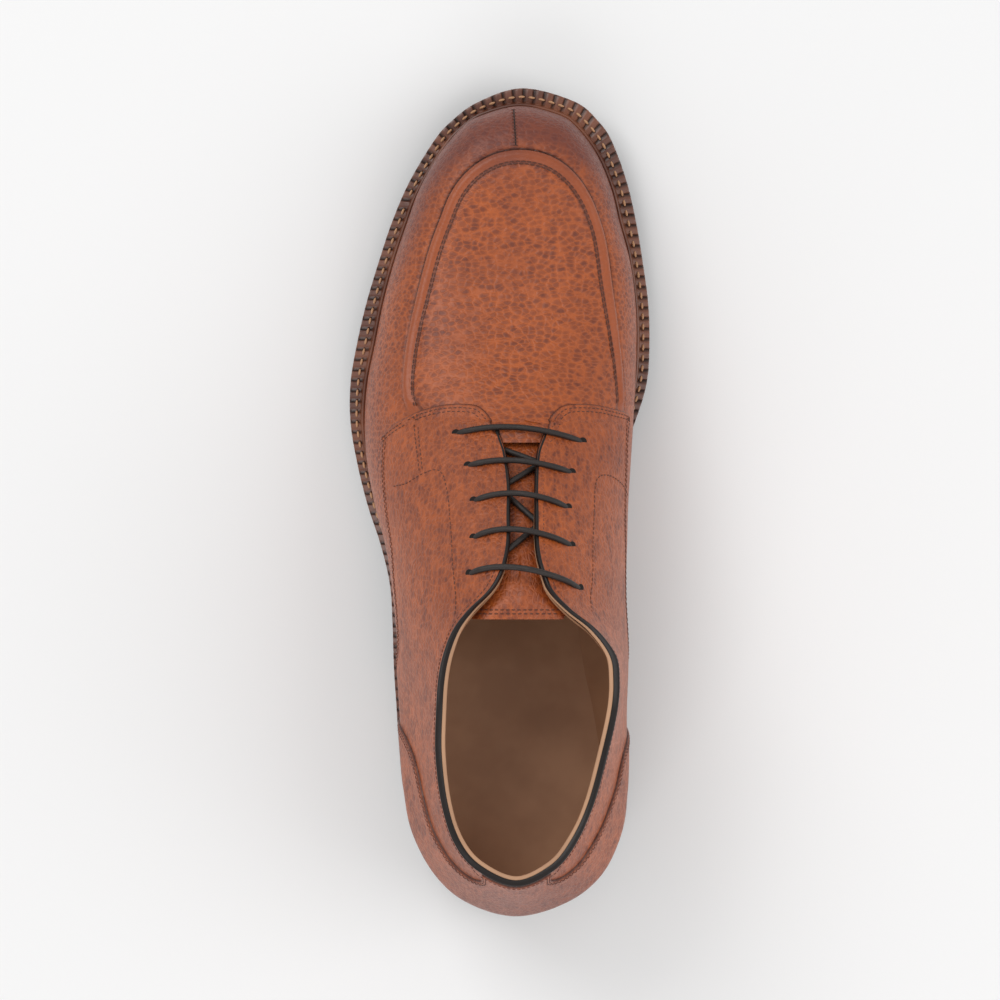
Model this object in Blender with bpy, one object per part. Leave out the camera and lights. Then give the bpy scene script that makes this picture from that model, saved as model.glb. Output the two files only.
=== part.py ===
"""Apron toe derby, the left shoe, about EU 43, as an assembly of separate solids.

The toe points along -Y and the outer (lateral) side along +X. The origin is on the floor under the middle
of the shoe. Tables are in millimetres. The upper, counter and tongue all come from one form: a closed ring
of upright half planes round a spine, with one wall profile in each.
"""

import math
from collections import namedtuple

import bmesh
import bpy
import numpy as np
from mathutils import Vector

MM = 0.001

# Driving dimensions, millimetres
WALL = 2.4
GAP = 0.3
WELT_MARGIN = 6.0
LIP_WIDTH = 1.4
LIP_HEIGHT = 2.2
INSOLE_THICKNESS = 2.5
TONGUE_THICKNESS = 2.4
TONGUE_HALF_WIDTH = 25.0
LACE_ROOM = 3.0
LACE_RADIUS = 1.1
LACE_GAP = 0.6
EYELET_RADIUS = 1.6
COUNTER_THICKNESS = 1.0
COUNTER_GAP = 0.8
BREAST_Y = 61.0
HEEL_TOP_PIECE = 6.3
HEEL_LIFTS = (2.0, 4.4)
OUTSOLE_SHARE = 0.5
MIDSOLE_SHARE = 0.3
TOE_POLE = (-8.0, -108.0)
HEEL_POLE = (-6.0, 116.0)
TOE_COUNT = 11
HEEL_COUNT = 9

Plan = namedtuple("Plan", "y lateral medial")

SOLE_TIP = (-8.6, -154.0)
SOLE_BACK = (-5.9, 154.0)
SOLE_PLAN = (
    Plan(-149.0, 8.0, -28.0),
    Plan(-141.5, 18.5, -37.0),
    Plan(-134.0, 25.0, -42.0),
    Plan(-119.0, 34.0, -47.5),
    Plan(-104.0, 40.5, -51.0),
    Plan(-89.0, 45.5, -53.5),
    Plan(-74.0, 50.0, -55.5),
    Plan(-59.0, 53.5, -56.0),
    Plan(-44.0, 56.0, -55.0),
    Plan(-29.0, 56.0, -50.5),
    Plan(-14.0, 53.5, -44.5),
    Plan(2.0, 49.5, -39.5),
    Plan(17.0, 44.5, -36.5),
    Plan(32.0, 41.0, -35.5),
    Plan(47.0, 40.0, -36.0),
    Plan(62.0, 39.5, -38.0),
    Plan(77.0, 38.5, -41.5),
    Plan(92.0, 37.5, -44.0),
    Plan(107.0, 36.0, -45.5),
    Plan(122.0, 32.5, -45.0),
    Plan(137.0, 24.5, -38.5),
    Plan(148.0, 12.5, -25.5),
)

UPPER_TIP = (-7.5, -146.8)
UPPER_BACK = (-5.9, 152.0)
UPPER_PLAN = (
    Plan(-143.5, 6.5, -22.0),
    Plan(-139.0, 14.0, -28.5),
    Plan(-129.0, 22.5, -36.0),
    Plan(-116.0, 30.0, -41.5),
    Plan(-104.0, 34.5, -44.5),
    Plan(-89.0, 39.5, -48.5),
    Plan(-74.0, 43.5, -50.5),
    Plan(-59.0, 46.5, -51.0),
    Plan(-44.0, 49.5, -50.5),
    Plan(-29.0, 50.5, -49.5),
    Plan(-14.0, 49.5, -48.5),
    Plan(2.0, 46.5, -47.5),
    Plan(17.0, 42.5, -47.0),
    Plan(32.0, 40.0, -46.5),
    Plan(47.0, 38.5, -46.5),
    Plan(62.0, 37.5, -46.5),
    Plan(77.0, 36.5, -46.0),
    Plan(92.0, 35.5, -46.0),
    Plan(107.0, 34.0, -45.5),
    Plan(122.0, 31.0, -43.5),
    Plan(137.0, 23.0, -36.5),
    Plan(147.0, 11.5, -24.0),
)

# The sole seen from the side: height of its underside, and the whole edge from there to the welt's top
Side = namedtuple("Side", "y under edge")
SOLE_SIDE = (
    Side(-155.0, 7.0, 11.0),
    Side(-141.0, 4.1, 12.3),
    Side(-128.0, 2.6, 12.9),
    Side(-115.0, 1.4, 13.3),
    Side(-100.0, 0.5, 13.4),
    Side(-80.0, 0.0, 13.4),
    Side(-62.0, 0.0, 13.4),
    Side(-44.0, 0.0, 13.4),
    Side(-28.0, 0.5, 13.5),
    Side(-13.0, 1.6, 13.6),
    Side(2.0, 3.9, 13.8),
    Side(17.0, 7.4, 14.0),
    Side(32.0, 11.4, 14.2),
    Side(47.0, 15.0, 14.4),
    Side(62.0, 17.2, 14.8),
    Side(90.0, 18.5, 14.9),
    Side(120.0, 20.0, 14.9),
    Side(155.0, 21.6, 14.9),
)

# The closed vamp along its middle: height of the ridge. The toe's own fall comes from the wall profile.
Ridge = namedtuple("Ridge", "y height")
RIDGE = (
    Ridge(-150.0, 46.0),
    Ridge(-128.0, 46.5),
    Ridge(-115.0, 47.6),
    Ridge(-101.0, 48.1),
    Ridge(-90.0, 48.9),
    Ridge(-75.0, 51.6),
    Ridge(-60.0, 56.6),
    Ridge(-45.0, 63.4),
    Ridge(-29.0, 72.0),
    Ridge(-20.0, 78.0),
)

# The open edge of throat and collar: where it lies in plan, and its height on both sides
Rim = namedtuple("Rim", "y lateral medial lateral_z medial_z")
THROAT_FRONT = -28.0
RIM_BACK = (-5.8, 138.5)
RIM = (
    Rim(-27.0, 0.5, -16.5, 73.6, 73.6),
    Rim(-17.0, -1.8, -13.8, 81.5, 81.5),
    Rim(-6.0, -3.2, -13.0, 89.9, 89.9),
    Rim(4.0, -3.2, -13.0, 97.6, 97.6),
    Rim(14.0, -3.2, -13.0, 104.8, 104.8),
    Rim(21.0, -2.2, -13.8, 109.6, 109.8),
    Rim(27.0, -0.3, -15.6, 113.0, 113.2),
    Rim(33.0, 3.5, -18.2, 114.4, 115.2),
    Rim(40.0, 10.6, -25.2, 113.4, 115.4),
    Rim(47.0, 15.8, -34.0, 111.6, 113.8),
    Rim(56.0, 19.3, -40.6, 107.5, 110.2),
    Rim(65.0, 21.1, -42.0, 103.2, 106.6),
    Rim(76.0, 21.9, -41.3, 99.4, 102.8),
    Rim(92.0, 22.2, -37.8, 97.4, 100.4),
    Rim(110.0, 20.0, -32.8, 99.0, 100.8),
    Rim(124.0, 15.3, -26.3, 101.4, 102.2),
    Rim(133.0, 7.5, -18.7, 103.8, 104.0),
    Rim(138.5, -5.8, -5.8, 105.0, 105.0),
)

# How square the wall profile is along the shoe: flat toe and apron, round instep, leaning heel
Squareness = namedtuple("Squareness", "y across up")
SQUARENESS = (
    Squareness(-150.0, 4.0, 2.2),
    Squareness(-80.0, 4.0, 2.2),
    Squareness(-60.0, 3.4, 2.1),
    Squareness(-30.0, 2.4, 2.0),
    Squareness(0.0, 2.0, 1.9),
    Squareness(30.0, 1.8, 1.8),
    Squareness(55.0, 1.35, 1.35),
    Squareness(80.0, 1.05, 1.0),
    Squareness(155.0, 1.0, 0.92),
)

# The counter's upper edge on each side, from its front point on the welt back to the strap on the seam
Edge = namedtuple("Edge", "y height")
COUNTER_FRONT = 78.0
COUNTER_EDGE = (
    Edge(78.0, 41.0),
    Edge(82.0, 50.0),
    Edge(88.0, 61.5),
    Edge(96.0, 70.3),
    Edge(107.0, 75.3),
    Edge(124.0, 81.2),
    Edge(141.0, 86.7),
)
STRAP_HALF_WIDTH = 14.0

# The tongue's crown where it stands free of the facings
TONGUE_CROWN = (
    Edge(20.0, 125.0),
    Edge(27.0, 109.8),
    Edge(33.0, 111.6),
    Edge(38.0, 112.6),
    Edge(43.0, 112.8),
)
TONGUE_SPAN = (-38.0, 43.0)

# The eyelets of each lace bar, and the middle of the bar between them
Bar = namedtuple("Bar", "lateral middle medial")
LACE_BARS = (
    Bar((15.8, -24.2), (-6.0, -26.6), (-29.9, -21.2)),
    Bar((11.4, -12.4), (-6.0, -14.4), (-25.8, -9.9)),
    Bar((9.2, 0.4), (-6.8, -2.4), (-24.3, 2.9)),
    Bar((9.2, 13.8), (-6.2, 10.6), (-25.6, 16.7)),
    Bar((10.6, 26.7), (-6.8, 24.4), (-28.5, 32.0)),
)

Station = namedtuple("Station", "foot way")
Wall = namedtuple("Wall", "reach feather feather_z belly_z across up rise rim_reach")
Finish = namedtuple("Finish", "colour roughness metallic")

FINISHES = {
    "upper": Finish((0.36, 0.13, 0.055), 0.42, 0.0),
    "heel_counter": Finish((0.33, 0.115, 0.05), 0.42, 0.0),
    "tongue": Finish((0.38, 0.15, 0.06), 0.5, 0.0),
    "welt": Finish((0.16, 0.055, 0.03), 0.5, 0.0),
    "midsole": Finish((0.17, 0.06, 0.03), 0.45, 0.0),
    "outsole": Finish((0.028, 0.028, 0.03), 0.6, 0.0),
    "insole": Finish((0.45, 0.3, 0.17), 0.7, 0.0),
    "heel_lift": Finish((0.15, 0.05, 0.03), 0.45, 0.0),
    "heel_top_piece": Finish((0.025, 0.025, 0.028), 0.6, 0.0),
    "lace_bar": Finish((0.045, 0.028, 0.02), 0.6, 0.0),
}


def column(rows, name):
    """A smooth curve through one column of a table, as a function of y, that keeps flat stretches flat."""
    ys = np.array([row.y for row in rows])
    values = np.array([getattr(row, name) for row in rows])
    secants = np.diff(values) / np.diff(ys)
    before, after = secants[:-1], secants[1:]
    rising = before * after > 0
    inner = np.where(rising, 2 * before * after / np.where(rising, before + after, 1.0), 0.0)
    slopes = np.array([secants[0], *inner, secants[-1]])

    def value(y):
        y = min(max(y, ys[0]), ys[-1])
        k = min(int(np.searchsorted(ys, y, side="right")) - 1, len(ys) - 2)
        step = ys[k + 1] - ys[k]
        t = (y - ys[k]) / step
        start = values[k] * (1 + 2 * t) * (1 - t) ** 2 + slopes[k] * step * t * (1 - t) ** 2
        end = values[k + 1] * (3 - 2 * t) * t**2 + slopes[k + 1] * step * (t - 1) * t**2
        return float(start + end)

    return value


def smoothstep(low, high, value):
    t = min(max((value - low) / (high - low), 0.0), 1.0)
    return t * t * (3 - 2 * t)


def closed_outline(front, rows, back):
    """A closed smooth outline through the front point, both sides of the rows and the back point."""
    lateral = [(row.lateral, row.y) for row in rows]
    medial = [(row.medial, row.y) for row in reversed(rows)]
    points = np.array([front, *lateral, back, *medial])
    return smooth_loop(points, steps=6)


def smooth_loop(points, steps):
    """Catmull-Rom through a closed loop of points."""
    before = np.roll(points, 1, axis=0)
    after = np.roll(points, -1, axis=0)
    beyond = np.roll(points, -2, axis=0)
    found = []
    for t in np.arange(steps) / steps:
        pull = (after - before) * t + (2 * before - 5 * points + 4 * after - beyond) * t**2
        found.append(0.5 * (2 * points + pull + (3 * points - before - 3 * after + beyond) * t**3))
    return np.stack(found, axis=1).reshape(-1, 2)


SOLE_OUTLINE = closed_outline(SOLE_TIP, SOLE_PLAN, SOLE_BACK)
UPPER_OUTLINE = closed_outline(UPPER_TIP, UPPER_PLAN, UPPER_BACK)
RIM_OUTLINE = closed_outline((-8.0, THROAT_FRONT), RIM[:-1], RIM_BACK)
under_z = column(SOLE_SIDE, "under")
edge_height = column(SOLE_SIDE, "edge")
ridge_z = column(RIDGE, "height")
squareness_across = column(SQUARENESS, "across")
squareness_up = column(SQUARENESS, "up")
rim_lateral_z = column(RIM, "lateral_z")
rim_medial_z = column(RIM, "medial_z")
counter_edge = column(COUNTER_EDGE, "height")
tongue_crown = column(TONGUE_CROWN, "height")


def welt_top(y):
    return under_z(y) + edge_height(y)


def spine_x(y):
    share = (y - TOE_POLE[1]) / (HEEL_POLE[1] - TOE_POLE[1])
    return TOE_POLE[0] + share * (HEEL_POLE[0] - TOE_POLE[0])


def fan(pole, first, last, count):
    """Stations turning about a pole, both end angles left out."""
    angles = np.radians(np.linspace(first, last, count + 2)[1:-1])
    return [Station(pole, (math.cos(a), math.sin(a))) for a in angles]


def side_stations(ys, way):
    return [Station((spine_x(y), y), (way, 0.0)) for y in ys]


def reach(outline, station):
    """How far the outline is from the station's foot, along its way."""
    foot, way = np.array(station.foot), np.array(station.way)
    here = outline - foot
    there = np.roll(outline, -1, axis=0) - foot
    across_here = here[:, 0] * way[1] - here[:, 1] * way[0]
    across_there = there[:, 0] * way[1] - there[:, 1] * way[0]
    crossing = across_here * across_there <= 0
    share = across_here / np.where(crossing, across_here - across_there, 1.0)
    along = here @ way + share * ((there - here) @ way)
    return float(along[crossing & (along > 0)].max())


def place(station, distance, height):
    """A point of the station's half plane, in metres."""
    x = station.foot[0] + station.way[0] * distance
    y = station.foot[1] + station.way[1] * distance
    return Vector((x, y, height)) * MM


def y_at(station, distance):
    return station.foot[1] + station.way[1] * distance


def feather_reach(station):
    """The feather line, where the upper meets the welt."""
    return min(reach(SOLE_OUTLINE, station) - WELT_MARGIN, reach(UPPER_OUTLINE, station) - 0.5)


def wall_at(station):
    """The sizes of the wall profile in one half plane."""
    out = reach(UPPER_OUTLINE, station)
    feather = feather_reach(station)
    feather_z = welt_top(y_at(station, feather)) + GAP
    belly_z = feather_z + min(7.0 + 2.7 * (out - feather), 24.0)
    across = squareness_across(y_at(station, out))
    up = squareness_up(y_at(station, out))
    if station.foot[1] < THROAT_FRONT:
        return Wall(out, feather, feather_z, belly_z, across, up, None, 0.0)
    rim_reach = reach(RIM_OUTLINE, station)
    rim_y = y_at(station, rim_reach)
    rim_z = rim_lateral_z(rim_y) if station.way[0] > 0 else rim_medial_z(rim_y)
    rise = (rim_z - belly_z) / (1 - (rim_reach / out) ** across) ** (1 / up)
    return Wall(out, feather, feather_z, belly_z, across, up, rise, rim_reach)


def form_height(station, wall, distance):
    """Height of the outer form above its belly, at a distance from the spine."""
    rise = wall.rise
    if rise is None:
        rise = ridge_z(y_at(station, distance)) - wall.belly_z
    share = min(distance / wall.reach, 1.0)
    return wall.belly_z + rise * max(1 - share**wall.across, 0.0) ** (1 / wall.up)


def lower_wall(wall, share):
    """From the feather, share 0, out to the belly, share 1."""
    distance = wall.reach - (wall.reach - wall.feather) * (1 - share) ** 2
    return distance, wall.feather_z + share * (wall.belly_z - wall.feather_z)


def upper_wall(station, wall, share, top_distance):
    """From the belly, share 0, up to the point at top_distance, share 1."""
    last = math.acos(min((top_distance / wall.reach) ** (wall.across / 2), 1.0))
    angle = share * last
    distance = wall.reach * math.cos(angle) ** (2 / wall.across)
    if share == 1:
        distance = top_distance
    return distance, form_height(station, wall, distance)


def offset_profile(points, inwards):
    """The profile moved along its own normals, towards the inside of the shoe."""
    points = np.array(points)
    along = np.gradient(points, axis=0)
    along /= np.linalg.norm(along, axis=1)[:, None]
    normals = np.stack([-along[:, 1], along[:, 0]], axis=1)
    return points + inwards * normals


def wall_profile(station, wall, low_steps=3, high_steps=8):
    """Distances and heights of the outer face, from the feather to the rim or the ridge."""
    low = [lower_wall(wall, k / low_steps) for k in range(low_steps)]
    high = [upper_wall(station, wall, k / high_steps, wall.rim_reach) for k in range(high_steps + 1)]
    return low + high


def new_object(name, bm, finish, smooth_angle=35.0):
    """Welds, turns the faces outwards and links the mesh as one named object."""
    bmesh.ops.remove_doubles(bm, verts=bm.verts, dist=1e-7)
    bmesh.ops.recalc_face_normals(bm, faces=bm.faces)
    mesh = bpy.data.meshes.new(name)
    bm.to_mesh(mesh)
    bm.free()
    mesh.shade_smooth()
    mesh.set_sharp_from_angle(angle=math.radians(smooth_angle))
    obj = bpy.data.objects.new(name, mesh)
    bpy.context.collection.objects.link(obj)
    dress(obj, finish)
    return obj


def dress(obj, finish):
    """Gives the object its own material, from the named finish."""
    look = FINISHES[finish]
    material = bpy.data.materials.new(obj.name)
    material.use_nodes = True
    shader = material.node_tree.nodes["Principled BSDF"]
    shader.inputs["Base Color"].default_value = (*look.colour, 1.0)
    shader.inputs["Roughness"].default_value = look.roughness
    shader.inputs["Metallic"].default_value = look.metallic
    obj.data.materials.append(material)


def sheet(rows):
    """A grid of faces through equal rows of points."""
    bm = bmesh.new()
    across, along = len(rows[0]), len(rows)
    bmesh.ops.create_grid(bm, x_segments=across - 1, y_segments=along - 1, size=1.0)
    bm.verts.ensure_lookup_table()
    for k, vert in enumerate(bm.verts):
        vert.co = rows[k // across][k % across]
    return bm


def all_stations(ys, toe_count, heel_count):
    """The whole ring: lateral side to the back, round the heel, and back up the medial side to the toe."""
    return (
        side_stations(ys, 1.0)
        + fan(HEEL_POLE, 0, 180, heel_count)
        + side_stations(reversed(ys), -1.0)
        + fan(TOE_POLE, 180, 360, toe_count)
    )


def heel_stations(front_ys, heel_count):
    ys = [*front_ys, 75.0, 88.0, 102.0, HEEL_POLE[1]]
    return side_stations(ys, 1.0) + fan(HEEL_POLE, 0, 180, heel_count) + side_stations(reversed(ys), -1.0)


SIDE_YS = [
    TOE_POLE[1],
    *np.linspace(-96.0, -40.0, 6),
    -29.0,
    -27.5,
    *np.linspace(-17.0, 21.0, 5),
    27.0,
    33.0,
    40.0,
    47.0,
    56.0,
    67.0,
    *np.linspace(78.0, 90.0, 5),
    98.0,
    106.0,
    HEEL_POLE[1],
]


def slab(name, stations, low, high, inset, edge, finish, open_front=False):
    """A layer of the sole: low and high are heights by y, edge rounds its lower outer corner."""
    rows = []
    for station in stations:
        out = reach(SOLE_OUTLINE, station) - inset
        shares = [(0.0, low), (0.55 * out, low), (out - edge, low), (out, None)]
        row = [place(station, r, z(y_at(station, r))) for r, z in shares if z]
        row.append(place(station, out, low(y_at(station, out)) + edge))
        for distance in (out, 0.55 * out, 0.0):
            row.append(place(station, distance, high(y_at(station, distance))))
        rows.append(row)
    if not open_front:
        rows.append(rows[0])
    bm = sheet(rows)
    if open_front:
        bmesh.ops.remove_doubles(bm, verts=bm.verts, dist=1e-7)
        bmesh.ops.holes_fill(bm, edges=bm.edges, sides=0)
    return new_object(name, bm, finish)


def outsole_top(y):
    return under_z(y) + OUTSOLE_SHARE * edge_height(y)


def midsole_top(y):
    return outsole_top(y) + MIDSOLE_SHARE * edge_height(y)


def make_sole(stations):
    slab("outsole", stations, under_z, outsole_top, 0.3, 1.0, "outsole")
    slab("midsole", stations, lambda y: outsole_top(y) + GAP, midsole_top, 0.6, 0.5, "midsole")
    rows = [welt_section(station) for station in stations]
    new_object("welt", sheet([*rows, rows[0]]), "welt")


def welt_section(station):
    """A flat strip with a storm lip that follows the upper's wall."""
    out = reach(SOLE_OUTLINE, station)
    wall = wall_at(station)
    share = (LIP_HEIGHT + GAP) / (wall.belly_z - wall.feather_z)
    lip_top = lower_wall(wall, min(share, 1.0))[0] + GAP + 0.1
    foot = wall.feather + GAP + 0.1
    top = welt_top(y_at(station, wall.feather))
    base = midsole_top(y_at(station, wall.feather)) + GAP
    outer_top = welt_top(y_at(station, out))
    outer_base = midsole_top(y_at(station, out)) + GAP
    inner = wall.feather - 9.0
    inner_y = y_at(station, inner)
    profile = (
        (inner, midsole_top(inner_y) + GAP),
        (wall.feather, base),
        (out - 0.5, outer_base),
        (out, outer_base + 0.6),
        (out, outer_top - 0.6),
        (out - 0.6, outer_top),
        (foot + LIP_WIDTH + 0.3, top),
        (lip_top + LIP_WIDTH, top + LIP_HEIGHT * 0.7),
        (lip_top + LIP_WIDTH * 0.5, top + LIP_HEIGHT),
        (lip_top, top + LIP_HEIGHT * 0.9),
        (foot, top),
        (inner, welt_top(inner_y)),
        (inner, midsole_top(inner_y) + GAP),
    )
    return [place(station, r, z) for r, z in profile]


def make_insole(stations):
    rows = []
    for station in stations:
        out = feather_reach(station) - WALL - 0.5
        row = []
        for height, distances in (
            (GAP, (0.0, 0.55 * out, out)),
            (GAP + INSOLE_THICKNESS, (out - 0.4, 0.55 * out, 0.0)),
        ):
            row += [place(station, r, welt_top(y_at(station, r)) + height) for r in distances]
        rows.append(row)
    new_object("insole", sheet([*rows, rows[0]]), "insole")


def make_heel():
    """Rubber top piece with a rounded lower front edge, two even lifts and a wedge up to the outsole."""
    radius = 4.0

    def tread(y):
        short = max(radius - (y - BREAST_Y), 0.0)
        return radius - math.sqrt(radius**2 - min(short, radius) ** 2)

    front = [BREAST_Y, BREAST_Y + 0.4, BREAST_Y + 1.2, BREAST_Y + 2.4, BREAST_Y + radius]
    stations = heel_stations(front, HEEL_COUNT)
    slab("heel_top_piece", stations, tread, lambda y: HEEL_TOP_PIECE, 1.6, 0.6, "heel_top_piece", True)
    stations = heel_stations([BREAST_Y], HEEL_COUNT)
    base = HEEL_TOP_PIECE
    for number, height in enumerate(HEEL_LIFTS, 1):
        name = f"heel_lift_{number}"
        low = base + GAP
        base += height
        slab(name, stations, lambda y, z=low: z, lambda y, z=base: z, 1.3, 0.3, "heel_lift", True)
    low = base + GAP
    slab("heel_lift_3", stations, lambda y: low, lambda y: under_z(y) - GAP, 1.0, 0.3, "heel_lift", True)


def make_upper(stations):
    """One hollow wall, open underneath, at the throat and at the collar, with its eyelets cut through."""
    rows = []
    for station in stations:
        wall = wall_at(station)
        outer = wall_profile(station, wall)
        inner = offset_profile(outer, WALL)
        inner[0] = (outer[0][0] - WALL, outer[0][1])
        if wall.rim_reach == 0:
            inner[-1] = (0.0, outer[-1][1] - WALL)
        ring = [*outer, *reversed(inner.tolist()), outer[0]]
        rows.append([place(station, r, z) for r, z in ring])
    bm = sheet([*rows, rows[0]])
    middle = [face for face in bm.faces if all(on_spine(vert.co) for vert in face.verts)]
    bmesh.ops.delete(bm, geom=middle, context="FACES")
    upper = new_object("upper", bm, "upper")
    cut = upper.modifiers.new("eyelets", "BOOLEAN")
    cut.object = make_eyelet_cutters()
    cut.solver = "EXACT"
    cut.operation = "DIFFERENCE"


def on_spine(point):
    return abs(point.x / MM - spine_x(point.y / MM)) < 1e-3 and point.y / MM < THROAT_FRONT


def form_point(x, y, lift):
    """A point of the outer form over (x, y), lifted along the form's normal in its half plane."""
    station = Station((spine_x(y), y), (math.copysign(1.0, x - spine_x(y)), 0.0))
    wall = wall_at(station)
    distance = abs(x - spine_x(y))
    near = form_height(station, wall, max(distance - 0.5, 0.0))
    far = form_height(station, wall, distance + 0.5)
    normal = Vector((near - far, 1.0)).normalized()
    height = form_height(station, wall, distance) + lift * normal.y
    return place(station, distance + lift * normal.x, height)


def make_eyelet_cutters():
    """Ten short rods through the facings, hidden: they only cut."""
    bm = bmesh.new()
    for bar in LACE_BARS:
        for x, y in (bar.lateral, bar.medial):
            outside = form_point(x, y, 3.0)
            inside = form_point(x, y, -WALL - 2.0)
            turn = (outside - inside).to_track_quat("Z", "Y").to_matrix().to_4x4()
            turn.translation = (outside + inside) / 2
            bmesh.ops.create_cone(
                bm,
                cap_ends=True,
                segments=8,
                radius1=EYELET_RADIUS * MM,
                radius2=EYELET_RADIUS * MM,
                depth=(outside - inside).length,
                matrix=turn,
            )
    mesh = bpy.data.meshes.new("eyelet_cutters")
    bm.to_mesh(mesh)
    bm.free()
    cutter = bpy.data.objects.new("eyelet_cutters", mesh)
    bpy.context.collection.objects.link(cutter)
    cutter.hide_render = True
    cutter.display_type = "WIRE"
    return cutter


def make_counter():
    """The outer counter: a band between two larger forms, up to a strap on the back seam."""
    ys = [*np.linspace(COUNTER_FRONT, 90.0, 5), 98.0, 106.0, HEEL_POLE[1]]
    stations = side_stations(ys, 1.0) + fan(HEEL_POLE, 0, 180, HEEL_COUNT) + side_stations(reversed(ys), -1.0)
    rows = []
    for station in stations:
        wall = wall_at(station)
        top = counter_top(station, wall)
        outline = wall_profile(station, wall, low_steps=5, high_steps=14)
        near = offset_profile(outline, -COUNTER_GAP)
        far = offset_profile(outline, -COUNTER_GAP - COUNTER_THICKNESS)
        low = wall.feather_z + LIP_HEIGHT + 0.5
        heights = np.linspace(low, top, 12)
        inner = [(distance_at(near, z), z) for z in heights]
        outer = [(distance_at(far, z), z) for z in heights]
        rows.append([place(station, r, z) for r, z in [*outer, *reversed(inner), outer[0]]])
    bm = sheet(rows)
    bmesh.ops.remove_doubles(bm, verts=bm.verts, dist=1e-7)
    bmesh.ops.holes_fill(bm, edges=bm.edges, sides=0)
    new_object("heel_counter", bm, "heel_counter")


def counter_top(station, wall):
    """The counter's edge: low along the sides, up to the collar within the strap."""
    edge = counter_edge(y_at(station, wall.reach))
    if station.foot != HEEL_POLE:
        return edge
    aside = abs(station.way[0]) * wall.reach
    rim_y = y_at(station, wall.rim_reach)
    collar = min(rim_lateral_z(rim_y), rim_medial_z(rim_y)) - 3.0
    return edge + (collar - edge) * (1 - smoothstep(STRAP_HALF_WIDTH - 4, STRAP_HALF_WIDTH + 6, aside))


def distance_at(profile, height):
    """Where the profile passes a height."""
    return float(np.interp(height, profile[:, 1], profile[:, 0]))


def make_tongue():
    """A leather tongue under the facings, rising free of them at its top."""
    ys = np.linspace(*TONGUE_SPAN, 13)
    shares = np.linspace(0.0, 1.0, 5)
    rows = []
    for y in ys:
        outer, inner = [], []
        for way in (1.0, -1.0):
            station = Station((spine_x(y), y), (way, 0.0))
            wall = wall_at(station)
            faces = tongue_faces(station, wall, y, shares)
            if way < 0:
                faces = [face[::-1][1:] for face in faces]
            outer += faces[0]
            inner += faces[1]
        rows.append([*outer, *reversed(inner), outer[0]])
    bm = sheet(rows)
    bmesh.ops.remove_doubles(bm, verts=bm.verts, dist=1e-7)
    bmesh.ops.holes_fill(bm, edges=bm.edges, sides=0)
    new_object("tongue", bm, "tongue")


def tongue_faces(station, wall, y, shares):
    """Outer and inner points of one half of the tongue, from its edge to its middle."""
    room = GAP + 0.2 + (LACE_ROOM - GAP) * smoothstep(-34.0, -24.0, y)
    distances = TONGUE_HALF_WIDTH * (1 - shares)
    outline = [(r, form_height(station, wall, r)) for r in distances]
    faces = []
    for deep in (0.0, TONGUE_THICKNESS):
        moved = offset_profile(outline, WALL + room + deep)
        moved[-1][0] = 0.0
        cap = tongue_crown(y) - deep if y > 20 else math.inf
        droop = 0.004 * np.array(distances) ** 2
        heights = np.minimum(moved[:, 1], cap - droop)
        faces.append([place(station, r, z) for r, z in zip(moved[:, 0], heights)])
    return faces


def make_laces():
    """Five bars over the facings, each between its two eyelets."""
    lift = LACE_RADIUS + LACE_GAP
    for number, bar in enumerate(LACE_BARS, 1):
        line = bpy.data.curves.new(f"lace_bar_{number}", "CURVE")
        line.dimensions = "3D"
        line.bevel_depth = LACE_RADIUS * MM
        line.bevel_resolution = 2
        line.use_fill_caps = True
        spline = line.splines.new("POLY")
        points = [form_point(x, y, lift) for x, y in bar_path(bar)]
        spline.points.add(len(points) - 1)
        for target, point in zip(spline.points, points):
            target.co = (*point, 1.0)
        obj = bpy.data.objects.new(line.name, line)
        bpy.context.collection.objects.link(obj)
        dress(obj, "lace_bar")


def bar_path(bar):
    """Plan points of a bar: a parabola through its two eyelets and its middle."""
    ends = [np.array(bar.lateral), np.array(bar.middle), np.array(bar.medial)]
    control = 2 * ends[1] - 0.5 * (ends[0] + ends[2])
    for t in np.linspace(0.0, 1.0, 9):
        yield (1 - t) ** 2 * ends[0] + 2 * t * (1 - t) * control + t**2 * ends[2]


def clear_scene():
    for obj in list(bpy.data.objects):
        bpy.data.objects.remove(obj)


def main():
    clear_scene()
    stations = all_stations(SIDE_YS, TOE_COUNT, HEEL_COUNT)
    make_sole(stations)
    make_insole(stations)
    make_heel()
    make_upper(stations)
    make_counter()
    make_tongue()
    make_laces()


main()
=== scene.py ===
"""The looks of a left apron toe derby: leather, seams, stitches, lace, welt and heel."""

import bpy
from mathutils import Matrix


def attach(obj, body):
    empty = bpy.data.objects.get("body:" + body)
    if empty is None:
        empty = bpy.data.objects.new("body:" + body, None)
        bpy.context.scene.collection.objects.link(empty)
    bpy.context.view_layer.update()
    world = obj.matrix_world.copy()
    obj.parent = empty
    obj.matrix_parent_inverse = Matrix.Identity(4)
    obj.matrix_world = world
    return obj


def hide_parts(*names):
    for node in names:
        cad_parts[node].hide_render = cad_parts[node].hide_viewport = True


bl_info = {
    "name": "Apron Toe Derby",
    "version": (1, 0, 0),
    "blender": (4, 5, 0),
    "location": "View3D > Sidebar > Derby",
    "description": "Dresses the packed solids of a welted derby with leather, seams, stitches and a lace",
    "category": "Object",
}

import math
from collections import namedtuple
from functools import lru_cache

import bmesh
import bpy
import numpy as np
from mathutils import Vector

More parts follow.
